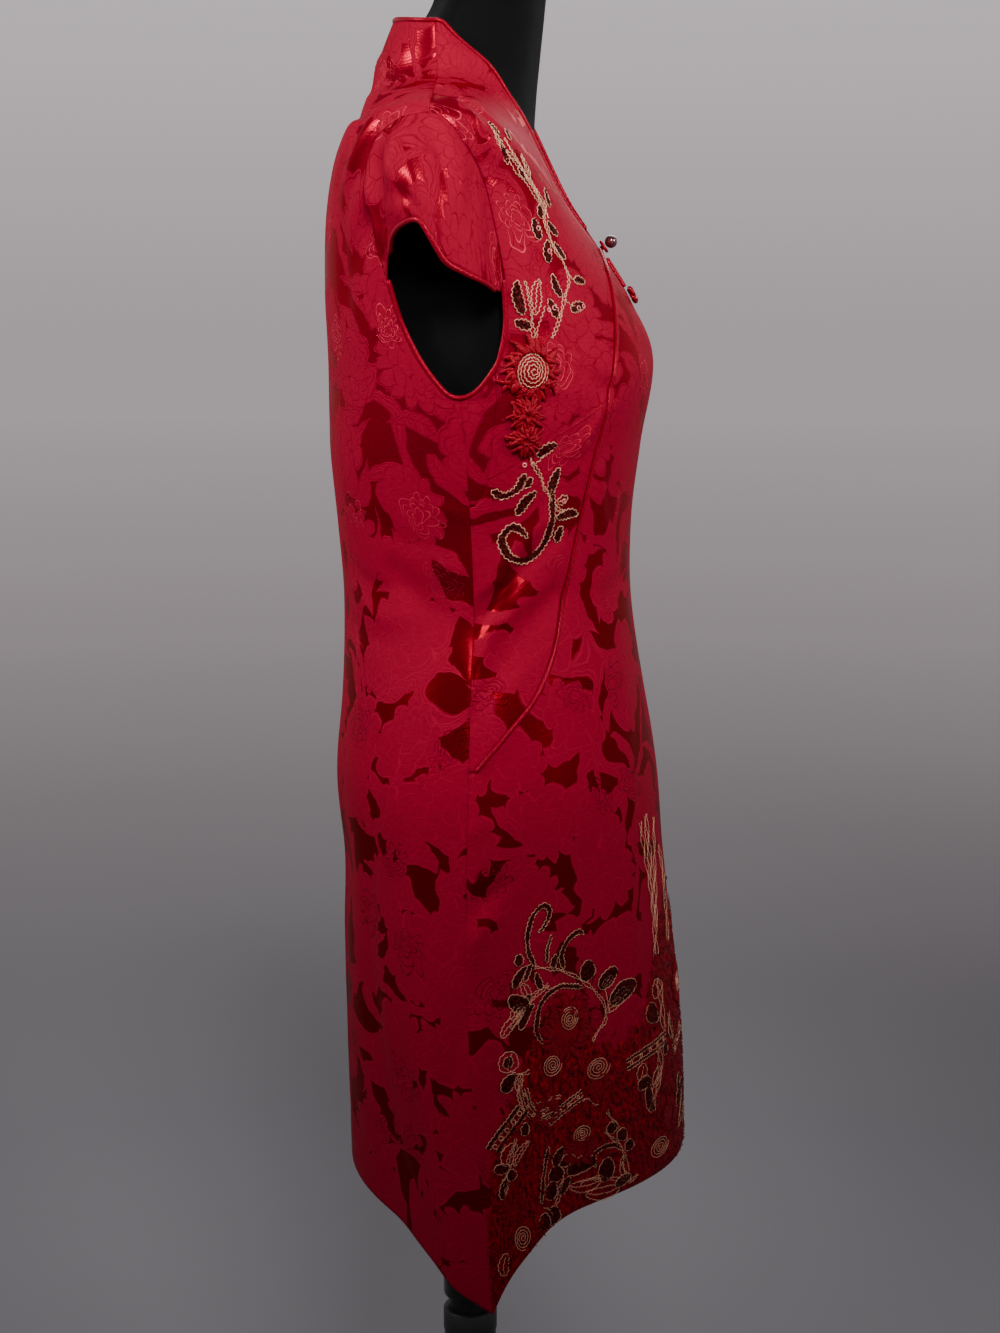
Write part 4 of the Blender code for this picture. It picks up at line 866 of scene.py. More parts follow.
front_out = on_dress(np.array([0.0]), np.array([10.9]))[1][0]
middle, half = node_frame("frog_bead")
ball = [(math.sin(a) * 0.0048, math.cos(a) * 0.0048) for a in np.linspace(0, math.pi, 25)]
add_piece("frog_glass_bead", round_mesh("frog_glass_bead", ball, 32, middle), bead_glass,
    "dark_glass_bead", "frog_bead")

middle, half = node_frame("frog_shank")
line = middle + front_out * np.linspace(-0.0024, 0.0024, 7)[:, None]
rolled_strip("frog_satin_shank", line, np.tile((0.0, 1.0, 0.0), (7, 1)), 0.0019, 0.0019,
    "crimson_plain_satin", "frog_shank")

middle, half = node_frame("frog_loop")
rise = unit(np.cross(front_out, (0.0, 1.0, 0.0)))
ring_angle = np.linspace(0, 2 * math.pi, 41)
line = middle + 0.0042 * (np.cos(ring_angle)[:, None] * np.array((0.0, 1.0, 0.0))
    + np.sin(ring_angle)[:, None] * rise)
rolled_strip("frog_satin_loop", line, np.tile(front_out, (41, 1)), 0.0012, 0.0012,
    "crimson_plain_satin", "frog_loop")

TAB_ROWS, TAB_COLUMNS = 22, 13
tab_level = np.linspace(10.72, 10.22, TAB_ROWS)[:, None] * np.ones((1, TAB_COLUMNS))
tab_share = np.linspace(-1, 1, TAB_COLUMNS)[None, :] * np.ones((TAB_ROWS, 1))
tab_half = 0.0045 * (0.75 + 0.25 * np.sin(math.pi * np.linspace(0, 1, TAB_ROWS)))[:, None]
tab_turn = -tab_share * tab_half / 0.0020
tab_lift = 0.0006 + 0.0017 * (1 - tab_share**2) ** 0.5 + 0.0003 * np.cos(tab_share * 9)
points = on_dress(tab_turn, tab_level, tab_lift)[0]
tab = add_piece("frog_satin_tab",
    grid_mesh("frog_satin_tab", points, np.stack((tab_share * 0.0045, tab_level * 0.05), -1), turned=True),
                plain_satin, "crimson_plain_satin", "frog_tab")
give_thickness(tab, 0.0006)

middle, half = node_frame("frog_knot")
knot_out = on_dress(np.array([0.0]), np.array([10.06]))[1][0]
across_knot = np.array((0.0, 1.0, 0.0))
up_knot = unit(np.cross(knot_out, across_knot))
turn_round = np.linspace(0, 2 * math.pi, 181)
winding = turn_round * 2
reach = 0.0042 + 0.0021 * np.cos(2.5 * winding)
line = middle + reach[:, None] * (np.cos(winding)[:, None] * across_knot + np.sin(winding)[:, None]
    * up_knot)
line += (0.0012 * np.sin(2.5 * winding))[:, None] * knot_out
rolled_strip("frog_satin_knot", line, np.tile(knot_out, (181, 1)), 0.0013, 0.0013,
    "crimson_plain_satin", "frog_knot")

# Ribbon flowers. A narrow dark red ribbon is gathered into loops round a padded middle and sewn
# down, and spirals of gold cord are couched on the large one and over the border of the hem.
RIBBONS = []
for name, finish, dark, light in (
    ("deep_red_ribbon", 0.42, (0.080, 0.0002, 0.0030), (0.300, 0.0015, 0.0120)),
    ("dull_red_ribbon", 0.78, (0.050, 0.0001, 0.0020), (0.230, 0.0006, 0.0090)),
):
    material, tree, shader = new_material(name, finish, sheen=0.10, tint=(1.0, 0.10, 0.14),
        specular=0.35, edge=(1.0, 0.2, 0.25))
    own_map = tree.nodes.new("ShaderNodeUVMap")
    own_map.uv_map = "cut"
    ribs = tree.nodes.new("ShaderNodeTexWave")
    ribs.inputs["Scale"].default_value = 180.0
    ribs.inputs["Distortion"].default_value = 2.0
    tree.links.new(own_map.outputs[0], ribs.inputs["Vector"])
    worn = tree.nodes.new("ShaderNodeTexNoise")
    worn.inputs["Scale"].default_value = 130.0
    tree.links.new(own_map.outputs[0], worn.inputs["Vector"])
    tree.links.new(mixed(tree, worn.outputs[0], dark, light), shader.inputs["Base Color"])
    bumped(tree, shader, ribs.outputs["Fac"], 0.0002, 0.7)
    RIBBONS.append(material)
ribbon, dull_ribbon = RIBBONS

gold, tree, shader = new_material("gold_cord", 0.46, metallic=0.25, sheen=0.05)
spot = tree.nodes.new("ShaderNodeTexCoord")
strands = tree.nodes.new("ShaderNodeTexNoise")
strands.inputs["Scale"].default_value = 900.0
tree.links.new(spot.outputs["Object"], strands.inputs["Vector"])
tree.links.new(mixed(tree, strands.outputs[0], (0.40, 0.150, 0.090), (0.84, 0.430, 0.270)),
    shader.inputs["Base Color"])
bumped(tree, shader, strands.outputs[0], 0.0003, 0.8)

Bloom = namedtuple("Bloom", "node turn level radius loops middle height")
BLOOMS = [
    Bloom("chest_bloom", 71.2, 9.29, 0.0210, 17, 0.60, 1.0),
    Bloom("chest_bud_upper", 74.2, 8.80, 0.0125, 13, 0.34, 1.0),
    Bloom("chest_bud_lower", 74.2, 8.46, 0.0125, 13, 0.34, 1.0),
    Bloom("hem_bloom_main", 55.0, 1.62, 0.0225, 16, 0.60, 0.35),
    Bloom("hem_bloom_side", 60.5, 1.02, 0.0125, 11, 0.50, 0.20),
    Bloom("hem_bloom_mid", 45.0, 1.10, 0.0125, 11, 0.50, 0.35),
    Bloom("hem_bloom_low", 50.0, 0.58, 0.0145, 12, 0.50, 0.35),
    Bloom("hem_bloom_corner", 72.0, 0.45, 0.0120, 11, 0.50, 0.35),
    Bloom("hem_bloom_front", 17.0, 0.50, 0.0150, 12, 0.50, 0.35),
    Bloom("hem_bloom_centre", 4.0, 1.55, 0.0180, 14, 0.50, 0.35),
    Bloom("hem_bloom_left", -22.0, 0.85, 0.0200, 15, 0.50, 0.35),
    Bloom("hem_bloom_left_low", -40.0, 0.50, 0.0140, 11, 0.50, 0.35),
]
Spiral = namedtuple("Spiral", "name turn level across up turns thick")
SPIRALS = [
    Spiral("chest_spiral", 71.2, 9.29, 0.0120, 0.0150, 5.4, 0.00036),
    Spiral("hem_spiral_main", 54.0, 1.72, 0.0085, 0.0094, 4.4, 0.00024),
    Spiral("hem_spiral_side", 59.0, 1.38, 0.0082, 0.0084, 4.0, 0.00024),
    Spiral("hem_spiral_mid", 45.0, 1.24, 0.0120, 0.0088, 4.0, 0.00024),
    Spiral("hem_spiral_low", 49.5, 0.72, 0.0084, 0.0066, 3.6, 0.00024),
    Spiral("hem_spiral_corner", 69.0, 0.20, 0.0066, 0.0102, 3.8, 0.00024),
    Spiral("hem_spiral_front", 22.5, 0.26, 0.0145, 0.0084, 4.0, 0.00024),
    Spiral("hem_spiral_centre", 4.0, 1.55, 0.0090, 0.0086, 4.2, 0.00024),
    Spiral("hem_spiral_left", -22.0, 0.85, 0.0090, 0.0088, 4.2, 0.00024),
    Spiral("hem_spiral_left_low", -40.0, 0.50, 0.0070, 0.0072, 3.8, 0.00024),
]


def spread(turn, level, x, y):
    """Spots at measures from another along the cloth: x towards the front's middle line, y upward."""
    x, y = np.asarray(x, float), np.asarray(y, float)
    here = np.array((float(turn),)), np.array((float(level),))
    by_turn = (on_rows(BODY_ROWS, here[0] + 0.5, here[1]) - on_rows(BODY_ROWS, here[0] - 0.5, here[1]))[0]
    by_level = ((on_rows(BODY_ROWS, here[0], here[1] + 0.1)
        - on_rows(BODY_ROWS, here[0], here[1] - 0.1)) / 0.2)[0]
    out = outward_on(BODY_ROWS, *here)[0]
    up = unit(np.array((0.0, 0.0, 1.0)) - out * out[2])
    ahead = np.cross(up, out) * (1 if turn >= 0 else -1)
    ahead = -ahead if ahead @ by_turn * (1 if turn >= 0 else -1) > 0 else ahead
    turns, levels = np.linalg.lstsq(
        np.stack((by_turn, by_level), 1),
        np.stack((x[..., None] * ahead + y[..., None] * up), 0).reshape(-1, 3).T, rcond=None,
    )[0]
    return turn + turns.reshape(x.shape), level + levels.reshape(x.shape)


class Gathering:
    """Collects many small meshes of one piece, with their flat measures."""

    def __init__(self):
        self.points, self.faces, self.flat, self.count = [], [], [], 0

    def add(self, points, faces, flat):
        """Adds points, faces that count within them, and a flat measure for each point."""
        self.points.append(points)
        self.faces += [[index + self.count for index in face] for face in faces]
        self.flat.append(flat)
        self.count += len(points)

    def mesh(self, name):
        """One mesh of all that was added."""
        mesh = bpy.data.meshes.new(name)
        mesh.from_pydata(np.concatenate(self.points).tolist(), [], self.faces)
        flat = np.concatenate(self.flat)
        loops = np.empty(len(mesh.loops), dtype=np.int32)
        mesh.loops.foreach_get("vertex_index", loops)
        layer = mesh.uv_layers.new(name="cut")
        layer.data.foreach_set("uv", flat[loops].astype(np.float32).ravel())
        mesh.shade_smooth()
        return mesh

    def cord(self, points, normals, radius, closed=False, sides=5):
        """A round cord along points."""
        points = np.asarray(points)
        along = np.gradient(points, axis=0)
        if closed:
            along = np.roll(points, -1, axis=0) - np.roll(points, 1, axis=0)
        aside = unit(np.cross(normals, unit(along)))
        up = np.cross(unit(along), aside)
        angle = 2 * math.pi * np.arange(sides) / sides
        rings = points[:, None] + radius * (
            np.cos(angle)[None, :, None] * aside[:, None] + np.sin(angle)[None, :, None] * up[:, None]
        )
        count = len(points)
        faces = []
        for i in range(count if closed else count - 1):
            j = (i + 1) % count
            for k in range(sides):
                m = (k + 1) % sides
                faces.append((i * sides + k, i * sides + m, j * sides + m, j * sides + k))
        if not closed:
            faces.append(tuple(range(sides))[::-1])
            faces.append(tuple(range((count - 1) * sides, count * sides)))
        run = np.arange(count)[:, None] * 0.0009 + np.zeros((1, sides))
        flat = np.stack((run, np.broadcast_to(angle[None] * radius, run.shape)), -1).reshape(-1, 2)
        self.add(rings.reshape(-1, 3), faces, flat)


chance = random.Random(11)
for entry in BLOOMS:
    bunch = Gathering()
    # the padded middle, domed and pinched at the rim
    around, rings = 48, 9
    share = np.linspace(0, 1, rings)[:, None] * np.ones((1, around))
    angle = np.linspace(0, 2 * math.pi, around, endpoint=False)[None, :] * np.ones((rings, 1))
    reach = entry.radius * 0.78 * share
    x, y = reach * np.cos(angle), reach * np.sin(angle)
    dome = entry.height * (0.0024 * (1 - share**2.2) + 0.0008) + 0.00035 * np.sin(angle
        * entry.loops) * share + 0.0002
    points = on_dress(*spread(entry.turn, entry.level, x, y), dome)[0]
    rim = on_dress(*spread(entry.turn, entry.level, x[-1], y[-1]), np.full(around, 0.0001))[0]
    points = np.concatenate((points.reshape(-1, 3), rim))
    faces = []
    for i in range(rings):
        for j in range(around):
            k = (j + 1) % around
            faces.append((i * around + j, (i + 1) * around + j, (i + 1) * around + k, i * around + k))
    flat = np.concatenate((np.stack((x, y), -1).reshape(-1, 2), np.stack((x[-1], y[-1]), -1)))
    bunch.add(points, faces, flat)
    # narrow loops of gathered ribbon in two rounds, and a third where the padded middle is small, each
    # arched over and bent a little
    u, w = np.linspace(0, 1, 7)[:, None], np.linspace(-1, 1, 5)[None, :]
    size = entry.radius
    clear = entry.middle
    rounds = [(clear, 1.12, 0.0016, 2 * entry.loops - 5), (clear * 0.94, 0.94, 0.0028, 2 * entry.loops - 8)]
    if clear < 0.5:
        rounds.append((0.10, 0.62, 0.0036, entry.loops - 3))
    for first, last, tall, loops in rounds:
        for index in range(loops):
            turned = 2 * math.pi * (index + chance.uniform(-0.45, 0.45)) / loops
            far = size * last * chance.uniform(0.78, 1.05)
            reach = size * first + (far - size * first) * u
            half = size * chance.uniform(0.085, 0.140) * np.sin(math.pi * (0.14 + 0.80 * u)) ** 0.5
            bend = chance.uniform(-0.34, 0.34) * size * u**2
            x = reach * math.cos(turned) - (half * w + bend) * math.sin(turned)
            y = reach * math.sin(turned) + (half * w + bend) * math.cos(turned)
            arch = np.sqrt(1.001 - w**2) * (0.0007 + 0.0006 * u)
            rise = 0.0005 + entry.height * tall * np.sin(math.pi
                * (0.30 + 0.62 * u)) * chance.uniform(0.8, 1.15) + arch
            points = on_dress(*spread(entry.turn, entry.level, x, y), rise)[0]
            faces = [(i * 5 + j, (i + 1) * 5 + j, (i + 1) * 5 + j + 1, i * 5 + j + 1) for i in range(6)
                for j in range(4)]
            run = np.stack((u * 0.011 + 0 * w + index * 0.013, w * 0.002 + 0 * u), -1)
            bunch.add(points.reshape(-1, 3), faces, run.reshape(-1, 2))
    piece = add_piece(entry.node + "_ribbon", bunch.mesh(entry.node + "_ribbon"),
        ribbon if entry.level > 5 else dull_ribbon,
                      "deep_red_ribbon", entry.node)
    shell = piece.modifiers.new("ribbon_thickness", "SOLIDIFY")
    shell.thickness = 0.00022
    shell.offset = 0

for entry in SPIRALS:
    cord = Gathering()
    size = (entry.across + entry.up) / 2
    angle = np.linspace(0.5, entry.turns * 2 * math.pi, int(size * entry.turns * 5200))
    share = 0.05 + 0.95 * angle / angle[-1]
    run = np.cumsum(share * size) * (angle[1] - angle[0])
    share = share + 0.028 * np.sin(run / 0.00050) + 0.03 * np.sin(angle * 0.8 + entry.turn)
    x, y = entry.across * share * np.cos(angle), entry.up * share * np.sin(angle)
    rise = 0.0019 + 0.0024 * (1 - np.clip(share, 0, 1) ** 2.2) * (entry.level > 5) + 0.0002
    points, out = on_dress(*spread(entry.turn, entry.level, x, y), rise)
    cord.cord(points, out, entry.thick)
    add_piece(entry.name, cord.mesh(entry.name), gold, "deep_red_ribbon")

# Shaggy ground of the hem border. Short ends of dark red chenille are sewn down close together over
# the lower front, under the cord work.
chenille, tree, shader = new_material("dark_red_chenille", 0.72, sheen=0.08, tint=(1.0, 0.05, 0.08),
    specular=0.2, edge=(1.0, 0.2, 0.25))
own_map = tree.nodes.new("ShaderNodeUVMap")
own_map.uv_map = "cut"
tufts = tree.nodes.new("ShaderNodeTexNoise")
tufts.inputs["Scale"].default_value = 300.0
tufts.inputs["Detail"].default_value = 3.0
tree.links.new(own_map.outputs[0], tufts.inputs["Vector"])
# Uneven tone of the tufts, stretched so that its brightest spots become bright flecks, painted glints on
# the pile.
tuft_tone_and_painted_glints = calc(tree, "MULTIPLY_ADD", tufts.outputs[0], 3.2, -1.15)
tree.links.new(mixed(tree, tuft_tone_and_painted_glints, (0.024, 0.0001, 0.0010), (0.300, 0.0010, 0.0120)),
    shader.inputs["Base Color"])
bumped(tree, shader, tufts.outputs[0], 0.0004, 0.8)

BorderTop = namedtuple("BorderTop", "turn level")
BORDER_TOP = [
    BorderTop(-62, 0.15), BorderTop(-54, 0.75), BorderTop(-42, 1.25), BorderTop(-24, 1.75),
    BorderTop(-8, 2.20),
    BorderTop(8, 2.62), BorderTop(16, 2.50), BorderTop(22, 2.05), BorderTop(28, 1.60), BorderTop(36, 1.42),
    BorderTop(44, 1.48), BorderTop(48, 1.85), BorderTop(54, 2.02), BorderTop(61, 1.92), BorderTop(66, 1.66),
    BorderTop(72, 1.20), BorderTop(79, 0.85), BorderTop(84, 0.45), BorderTop(87, 0.10),
]
ground_turn = np.linspace(-61.5, 86.5, 150)
ground_top = np.interp(ground_turn, [spot.turn for spot in BORDER_TOP], [spot.level for spot in BORDER_TOP])
ground_top = ground_top * (0.95 + 0.045 * np.sin(ground_turn * 1.9) * np.sin(ground_turn * 0.7))
ground_share = np.linspace(0, 1, 46)[:, None]
ground_level = 0.012 + (ground_top[None, :] - 0.012) * ground_share
turn_net = np.broadcast_to(ground_turn[None, :], ground_level.shape)
edge_fall = np.minimum(1.0, np.minimum(ground_share, 1 - ground_share) * 30)
points = on_dress(turn_net, ground_level, 0.0001 + 0.0004 * edge_fall)[0]
flat = np.stack((turn_net * 0.003, ground_level * 0.065), -1)
patch = add_piece("hem_chenille_ground", grid_mesh("hem_chenille_ground", points, flat, turned=True),
    chenille, "deep_red_ribbon")
give_thickness(patch, 0.0002)
TUFTS = 9500
pile = Gathering()
chance = random.Random(5)
edge_turn = [spot.turn for spot in BORDER_TOP]
edge_level = [spot.level for spot in BORDER_TOP]
placed = []
while len(placed) < TUFTS:
    turn, level = chance.uniform(-62, 87), chance.uniform(0.02, 2.35)
    top = float(np.interp(turn, edge_turn, edge_level))
    if level < top * chance.uniform(0.86, 1.04):
        placed.append((turn, level, chance.uniform(0, math.pi * 2), chance.uniform(0.0022, 0.0044),
            chance.uniform(0.0006, 0.0011)))
placed = np.array(placed)
centre, out = on_dress(placed[:, 0], placed[:, 1])
level_dir = unit(np.array((0.0, 0.0, 1.0)) - out * out[:, 2:])
side_dir = np.cross(level_dir, out)
ahead = np.cos(placed[:, 2])[:, None] * side_dir + np.sin(placed[:, 2])[:, None] * level_dir
aside = np.cross(out, ahead)
length, width = placed[:, 3][:, None], placed[:, 4][:, None]
strip = []
for along, rise in ((-0.5, 0.0004), (0.0, 0.0014), (0.5, 0.0010)):
    for sideways in (-0.5, 0.5):
        strip.append(centre + ahead * length * along + aside * width * sideways
            * (1 - abs(along) * 0.7) + out * rise)
points = np.stack(strip, 1)
for index in range(TUFTS):
    first = index * 6
    pile.faces += [(first, first + 1, first + 3, first + 2), (first + 2, first + 3, first + 5, first + 4)]
pile.points.append(points.reshape(-1, 3))
pile.flat.append(np.repeat(placed[:, :2] * (0.003, 0.065), 6, axis=0)
    + np.tile(np.array(((0, 0), (1, 0), (0, 2), (1, 2), (0, 4), (1, 4))) * 0.0008, (TUFTS, 1)))
pile.count = TUFTS * 6
add_piece("hem_chenille_tufts", pile.mesh("hem_chenille_tufts"), chenille, "deep_red_ribbon")

# Cord embroidery. Gold cord is couched in wavy lines round leaves, scrolls and bands that are
# filled with tiny dark sequins; it runs down the right front and over the whole front border.
sequin, tree, shader = new_material("dark_sequins", 0.42, metallic=0.0, specular=0.12,
    edge=(1.0, 0.35, 0.3))
own_map = tree.nodes.new("ShaderNodeUVMap")
own_map.uv_map = "cut"
glint = tree.nodes.new("ShaderNodeTexVoronoi")
glint.inputs["Scale"].default_value = 620.0
tree.links.new(own_map.outputs[0], glint.inputs["Vector"])
tone = tree.nodes.new("ShaderNodeSeparateColor")
tree.links.new(glint.outputs["Color"], tone.inputs[0])
tree.links.new(mixed(tree, tone.outputs[0], (0.004, 0.0002, 0.0003), (0.070, 0.0022, 0.0030)),
    shader.inputs["Base Color"])
bumped(tree, shader, glint.outputs["Distance"], 0.0006, 0.8)

ring_pink, tree, shader = new_material("pink_bead_rings", 0.30, metallic=0.2)
spot = tree.nodes.new("ShaderNodeTexCoord")
tone = tree.nodes.new("ShaderNodeTexNoise")
tone.inputs["Scale"].default_value = 700.0
tree.links.new(spot.outputs["Object"], tone.inputs["Vector"])
tree.links.new(mixed(tree, tone.outputs[0], (0.65, 0.080, 0.090), (0.95, 0.320, 0.300)),
    shader.inputs["Base Color"])

Leaf = namedtuple("Leaf", "turn level angle length width filled")
Scroll = namedtuple("Scroll", "spots half_width filled")
Stem = namedtuple("Stem", "spots cords")
Band = namedtuple("Band", "spots half_width circles")
RingOf = namedtuple("RingOf", "turn level radius")
# Angles are seen from outside: 0 points to the front's middle line and 90 upward.
CHEST_LEAVES = [
    Leaf(62.5, 12.03, 120, 0.0100, 0.0050, True), Leaf(54.0, 12.12, 75, 0.0085, 0.0050, True),
    Leaf(60.0, 11.72, 100, 0.0140, 0.0050, True), Leaf(48.5, 11.75, 110, 0.0135, 0.0045, False),
    Leaf(53.0, 11.56, 130, 0.0090, 0.0040, True), Leaf(40.5, 11.40, 85, 0.0120, 0.0060, True),
    Leaf(49.0, 11.10, 60, 0.0090, 0.0065, True), Leaf(54.0, 10.85, 100, 0.0130, 0.0075, True),
    Leaf(52.5, 10.58, 75, 0.0140, 0.0070, True), Leaf(45.5, 10.92, 140, 0.0120, 0.0060, True),
    Leaf(46.5, 10.62, 130, 0.0130, 0.0050, True), Leaf(54.0, 10.18, 115, 0.0150, 0.0055, True),
    Leaf(42.5, 10.23, 0, 0.0130, 0.0050, True), Leaf(58.5, 9.92, 110, 0.0120, 0.0060, True),
    Leaf(48.0, 9.90, 15, 0.0140, 0.0060, True), Leaf(69.0, 10.05, 105, 0.0200, 0.0070, True),
    Leaf(63.0, 10.05, 78, 0.0210, 0.0070, False), Leaf(70.0, 9.78, 165, 0.0110, 0.0060, True),
    Leaf(66.0, 8.26, 30, 0.0145, 0.0060, True), Leaf(61.5, 7.83, 75, 0.0175, 0.0065, True),
    Leaf(71.5, 7.85, 60, 0.0075, 0.0045, True), Leaf(72.0, 7.58, 52, 0.0185, 0.0060, True),
    Leaf(57.5, 7.56, 20, 0.0080, 0.0055, False), Leaf(54.8, 7.35, 5, 0.0180, 0.0060, True),
    Leaf(57.5, 7.13, 80, 0.0105, 0.0060, True),
]
CHEST_SCROLLS = [
    Scroll([(62.5, 7.74), (62.0, 7.34), (64.5, 7.00), (71.5, 6.84), (78.0, 6.92), (80.5, 7.12),
        (78.0, 7.27),
            (74.5, 7.26), (71.5, 7.14)], 0.0031, True),
    Scroll([(73.0, 7.98), (75.5, 7.79), (80.0, 7.70), (84.0, 7.77)], 0.0029, True),
]
CHEST_STEMS = [
    Stem([(63.5, 12.1), (61.5, 11.80), (55.5, 11.68), (50.0, 11.54), (47.0, 11.36), (44.5, 11.20)], 3),
    Stem([(58.0, 11.95), (54.0, 11.72), (50.5, 11.50), (47.5, 11.28), (45.5, 11.05)], 2),
    Stem([(60.5, 11.62), (56.0, 11.50), (51.5, 11.38), (48.0, 11.16)], 1),
    Stem([(45.0, 11.20), (49.0, 10.95), (49.0, 10.62), (47.5, 10.48), (47.5, 10.28), (52.0, 10.05),
        (58.5, 9.76), (62.0, 9.60)], 2),
    Stem([(66.5, 10.22), (66.5, 9.95), (68.0, 9.62)], 2),
    Stem([(62.0, 9.95), (65.0, 9.76), (67.5, 9.60)], 1),
    Stem([(43.0, 10.22), (45.5, 10.26), (47.5, 10.34)], 1),
    Stem([(47.0, 9.92), (50.5, 9.95), (53.0, 10.00)], 1),
    Stem([(74.5, 9.02), (74.0, 8.78), (74.5, 8.55), (72.0, 8.20), (68.5, 7.98), (65.0, 7.72)], 2),
    Stem([(64.5, 7.70), (60.5, 7.50), (56.0, 7.38)], 2),
    Stem([(66.5, 8.22), (69.5, 8.12), (71.5, 8.10)], 1),
]
CHEST_RINGS = [
    RingOf(54.0, 10.85, 0.0016), RingOf(52.5, 10.58, 0.0016), RingOf(48.0, 9.90, 0.0017),
    RingOf(45.5, 9.92, 0.0015),
    RingOf(58.5, 9.92, 0.0016), RingOf(61.0, 9.90, 0.0013), RingOf(73.6, 8.10, 0.0014),
    RingOf(57.5, 7.56, 0.0013),
]
HEM_LEAVES = [
    Leaf(70.0, 2.36, 91, 0.0075, 0.0059, True), Leaf(69.5, 2.18, 60, 0.0157, 0.0057, True),
    Leaf(67.0, 2.22, 69, 0.0120, 0.0039, True), Leaf(63.5, 2.12, 111, 0.0124, 0.0045, True),
    Leaf(59.0, 2.28, 77, 0.0095, 0.0047, True), Leaf(47.5, 2.10, 84, 0.0133, 0.0132, True),
    Leaf(41.0, 1.96, 34, 0.0178, 0.0117, True), Leaf(41.5, 1.94, 31, 0.0097, 0.0048, False),
    Leaf(36.0, 1.78, 18, 0.0258, 0.0139, True), Leaf(36.5, 1.78, 16, 0.0153, 0.0063, False),
    Leaf(39.0, 1.70, 18, 0.0161, 0.0062, False), Leaf(67.5, 2.06, 120, 0.0105, 0.0056, False),
    Leaf(69.5, 1.96, 146, 0.0159, 0.0110, True), Leaf(67.0, 1.96, 57, 0.0085, 0.0049, True),
    Leaf(67.0, 1.82, 60, 0.0178, 0.0059, True), Leaf(72.0, 1.76, 49, 0.0177, 0.0062, False),
    Leaf(70.0, 1.88, 52, 0.0127, 0.0053, False), Leaf(72.0, 1.48, 75, 0.0135, 0.0131, False),
    Leaf(72.5, 1.48, 80, 0.0079, 0.0065, True), Leaf(72.0, 1.32, 58, 0.0140, 0.0087, True),
    Leaf(69.0, 1.32, 80, 0.0110, 0.0052, False), Leaf(67.0, 0.96, 85, 0.0085, 0.0058, True),
    Leaf(72.0, 0.82, 69, 0.0160, 0.0097, False), Leaf(68.5, 0.80, 56, 0.0179, 0.0046, False),
    Leaf(75.5, 0.74, 12, 0.0097, 0.0071, True), Leaf(71.5, 0.68, 90, 0.0077, 0.0070, True),
    Leaf(74.0, 0.62, 74, 0.0162, 0.0053, True), Leaf(56.0, 0.60, 60, 0.0129, 0.0073, True),
    Leaf(56.5, 0.46, 91, 0.0112, 0.0120, True), Leaf(58.0, 0.34, 79, 0.0125, 0.0092, True),
    Leaf(53.5, 0.52, 5, 0.0125, 0.0079, True), Leaf(54.0, 0.30, 53, 0.0129, 0.0070, True),
    Leaf(60.5, 0.12, 101, 0.0121, 0.0088, True), Leaf(57.5, 0.10, 72, 0.0123, 0.0122, True),
    Leaf(49.0, 0.40, 5, 0.0238, 0.0112, True), Leaf(41.0, 0.28, 92, 0.0158, 0.0140, True),
    Leaf(48.0, 0.24, 175, 0.0255, 0.0082, False), Leaf(42.5, 0.10, 173, 0.0295, 0.0087, False),
    Leaf(36.0, 0.10, 11, 0.0150, 0.0075, True), Leaf(35.5, 0.24, 104, 0.0157, 0.0079, False),
    Leaf(40.0, 0.64, 9, 0.0098, 0.0082, True), Leaf(36.5, 0.54, 45, 0.0081, 0.0112, True),
    Leaf(34.0, 0.42, 77, 0.0076, 0.0095, True), Leaf(20.5, 1.68, 94, 0.0119, 0.0163, False),
    Leaf(24.0, 1.48, 52, 0.0126, 0.0191, True), Leaf(29.5, 1.04, 72, 0.0106, 0.0116, False),
    Leaf(29.0, 0.92, 3, 0.0143, 0.0093, True), Leaf(26.5, 0.78, 106, 0.0225, 0.0089, True),
    Leaf(23.5, 0.92, 57, 0.0136, 0.0097, False), Leaf(18.0, 1.12, 84, 0.0093, 0.0080, True),
    Leaf(76.0, 0.15, 85, 0.0150, 0.0070, False),
]
HEM_SCROLLS = [
    Scroll([(65.0, 2.26), (67.5, 2.44), (68.0, 2.64), (66.5, 2.84), (63.5, 2.92), (61.5, 2.86),
        (62.0, 2.76), (63.5, 2.66), (65.0, 2.64)], 0.0019, True),
    Scroll([(56.0, 2.18), (57.0, 2.32), (55.5, 2.46), (52.0, 2.54), (49.5, 2.50)], 0.0021, True),
    Scroll([(61.5, 2.28), (61.5, 2.42), (60.5, 2.58)], 0.0014, True),
    Scroll([(49.5, 1.96), (57.0, 2.02), (62.5, 1.92), (64.0, 1.74), (63.5, 1.64), (61.5, 1.56)], 0.0020,
        True),
    Scroll([(45.0, 0.34), (45.5, 0.46), (43.0, 0.50), (39.0, 0.48), (36.5, 0.40)], 0.0020, True),
    Scroll([(59.5, 0.74), (61.0, 0.54), (62.0, 0.30)], 0.0016, True),
    Scroll([(14.0, 1.34), (13.0, 1.22), (13.0, 1.14)], 0.0016, True),
]
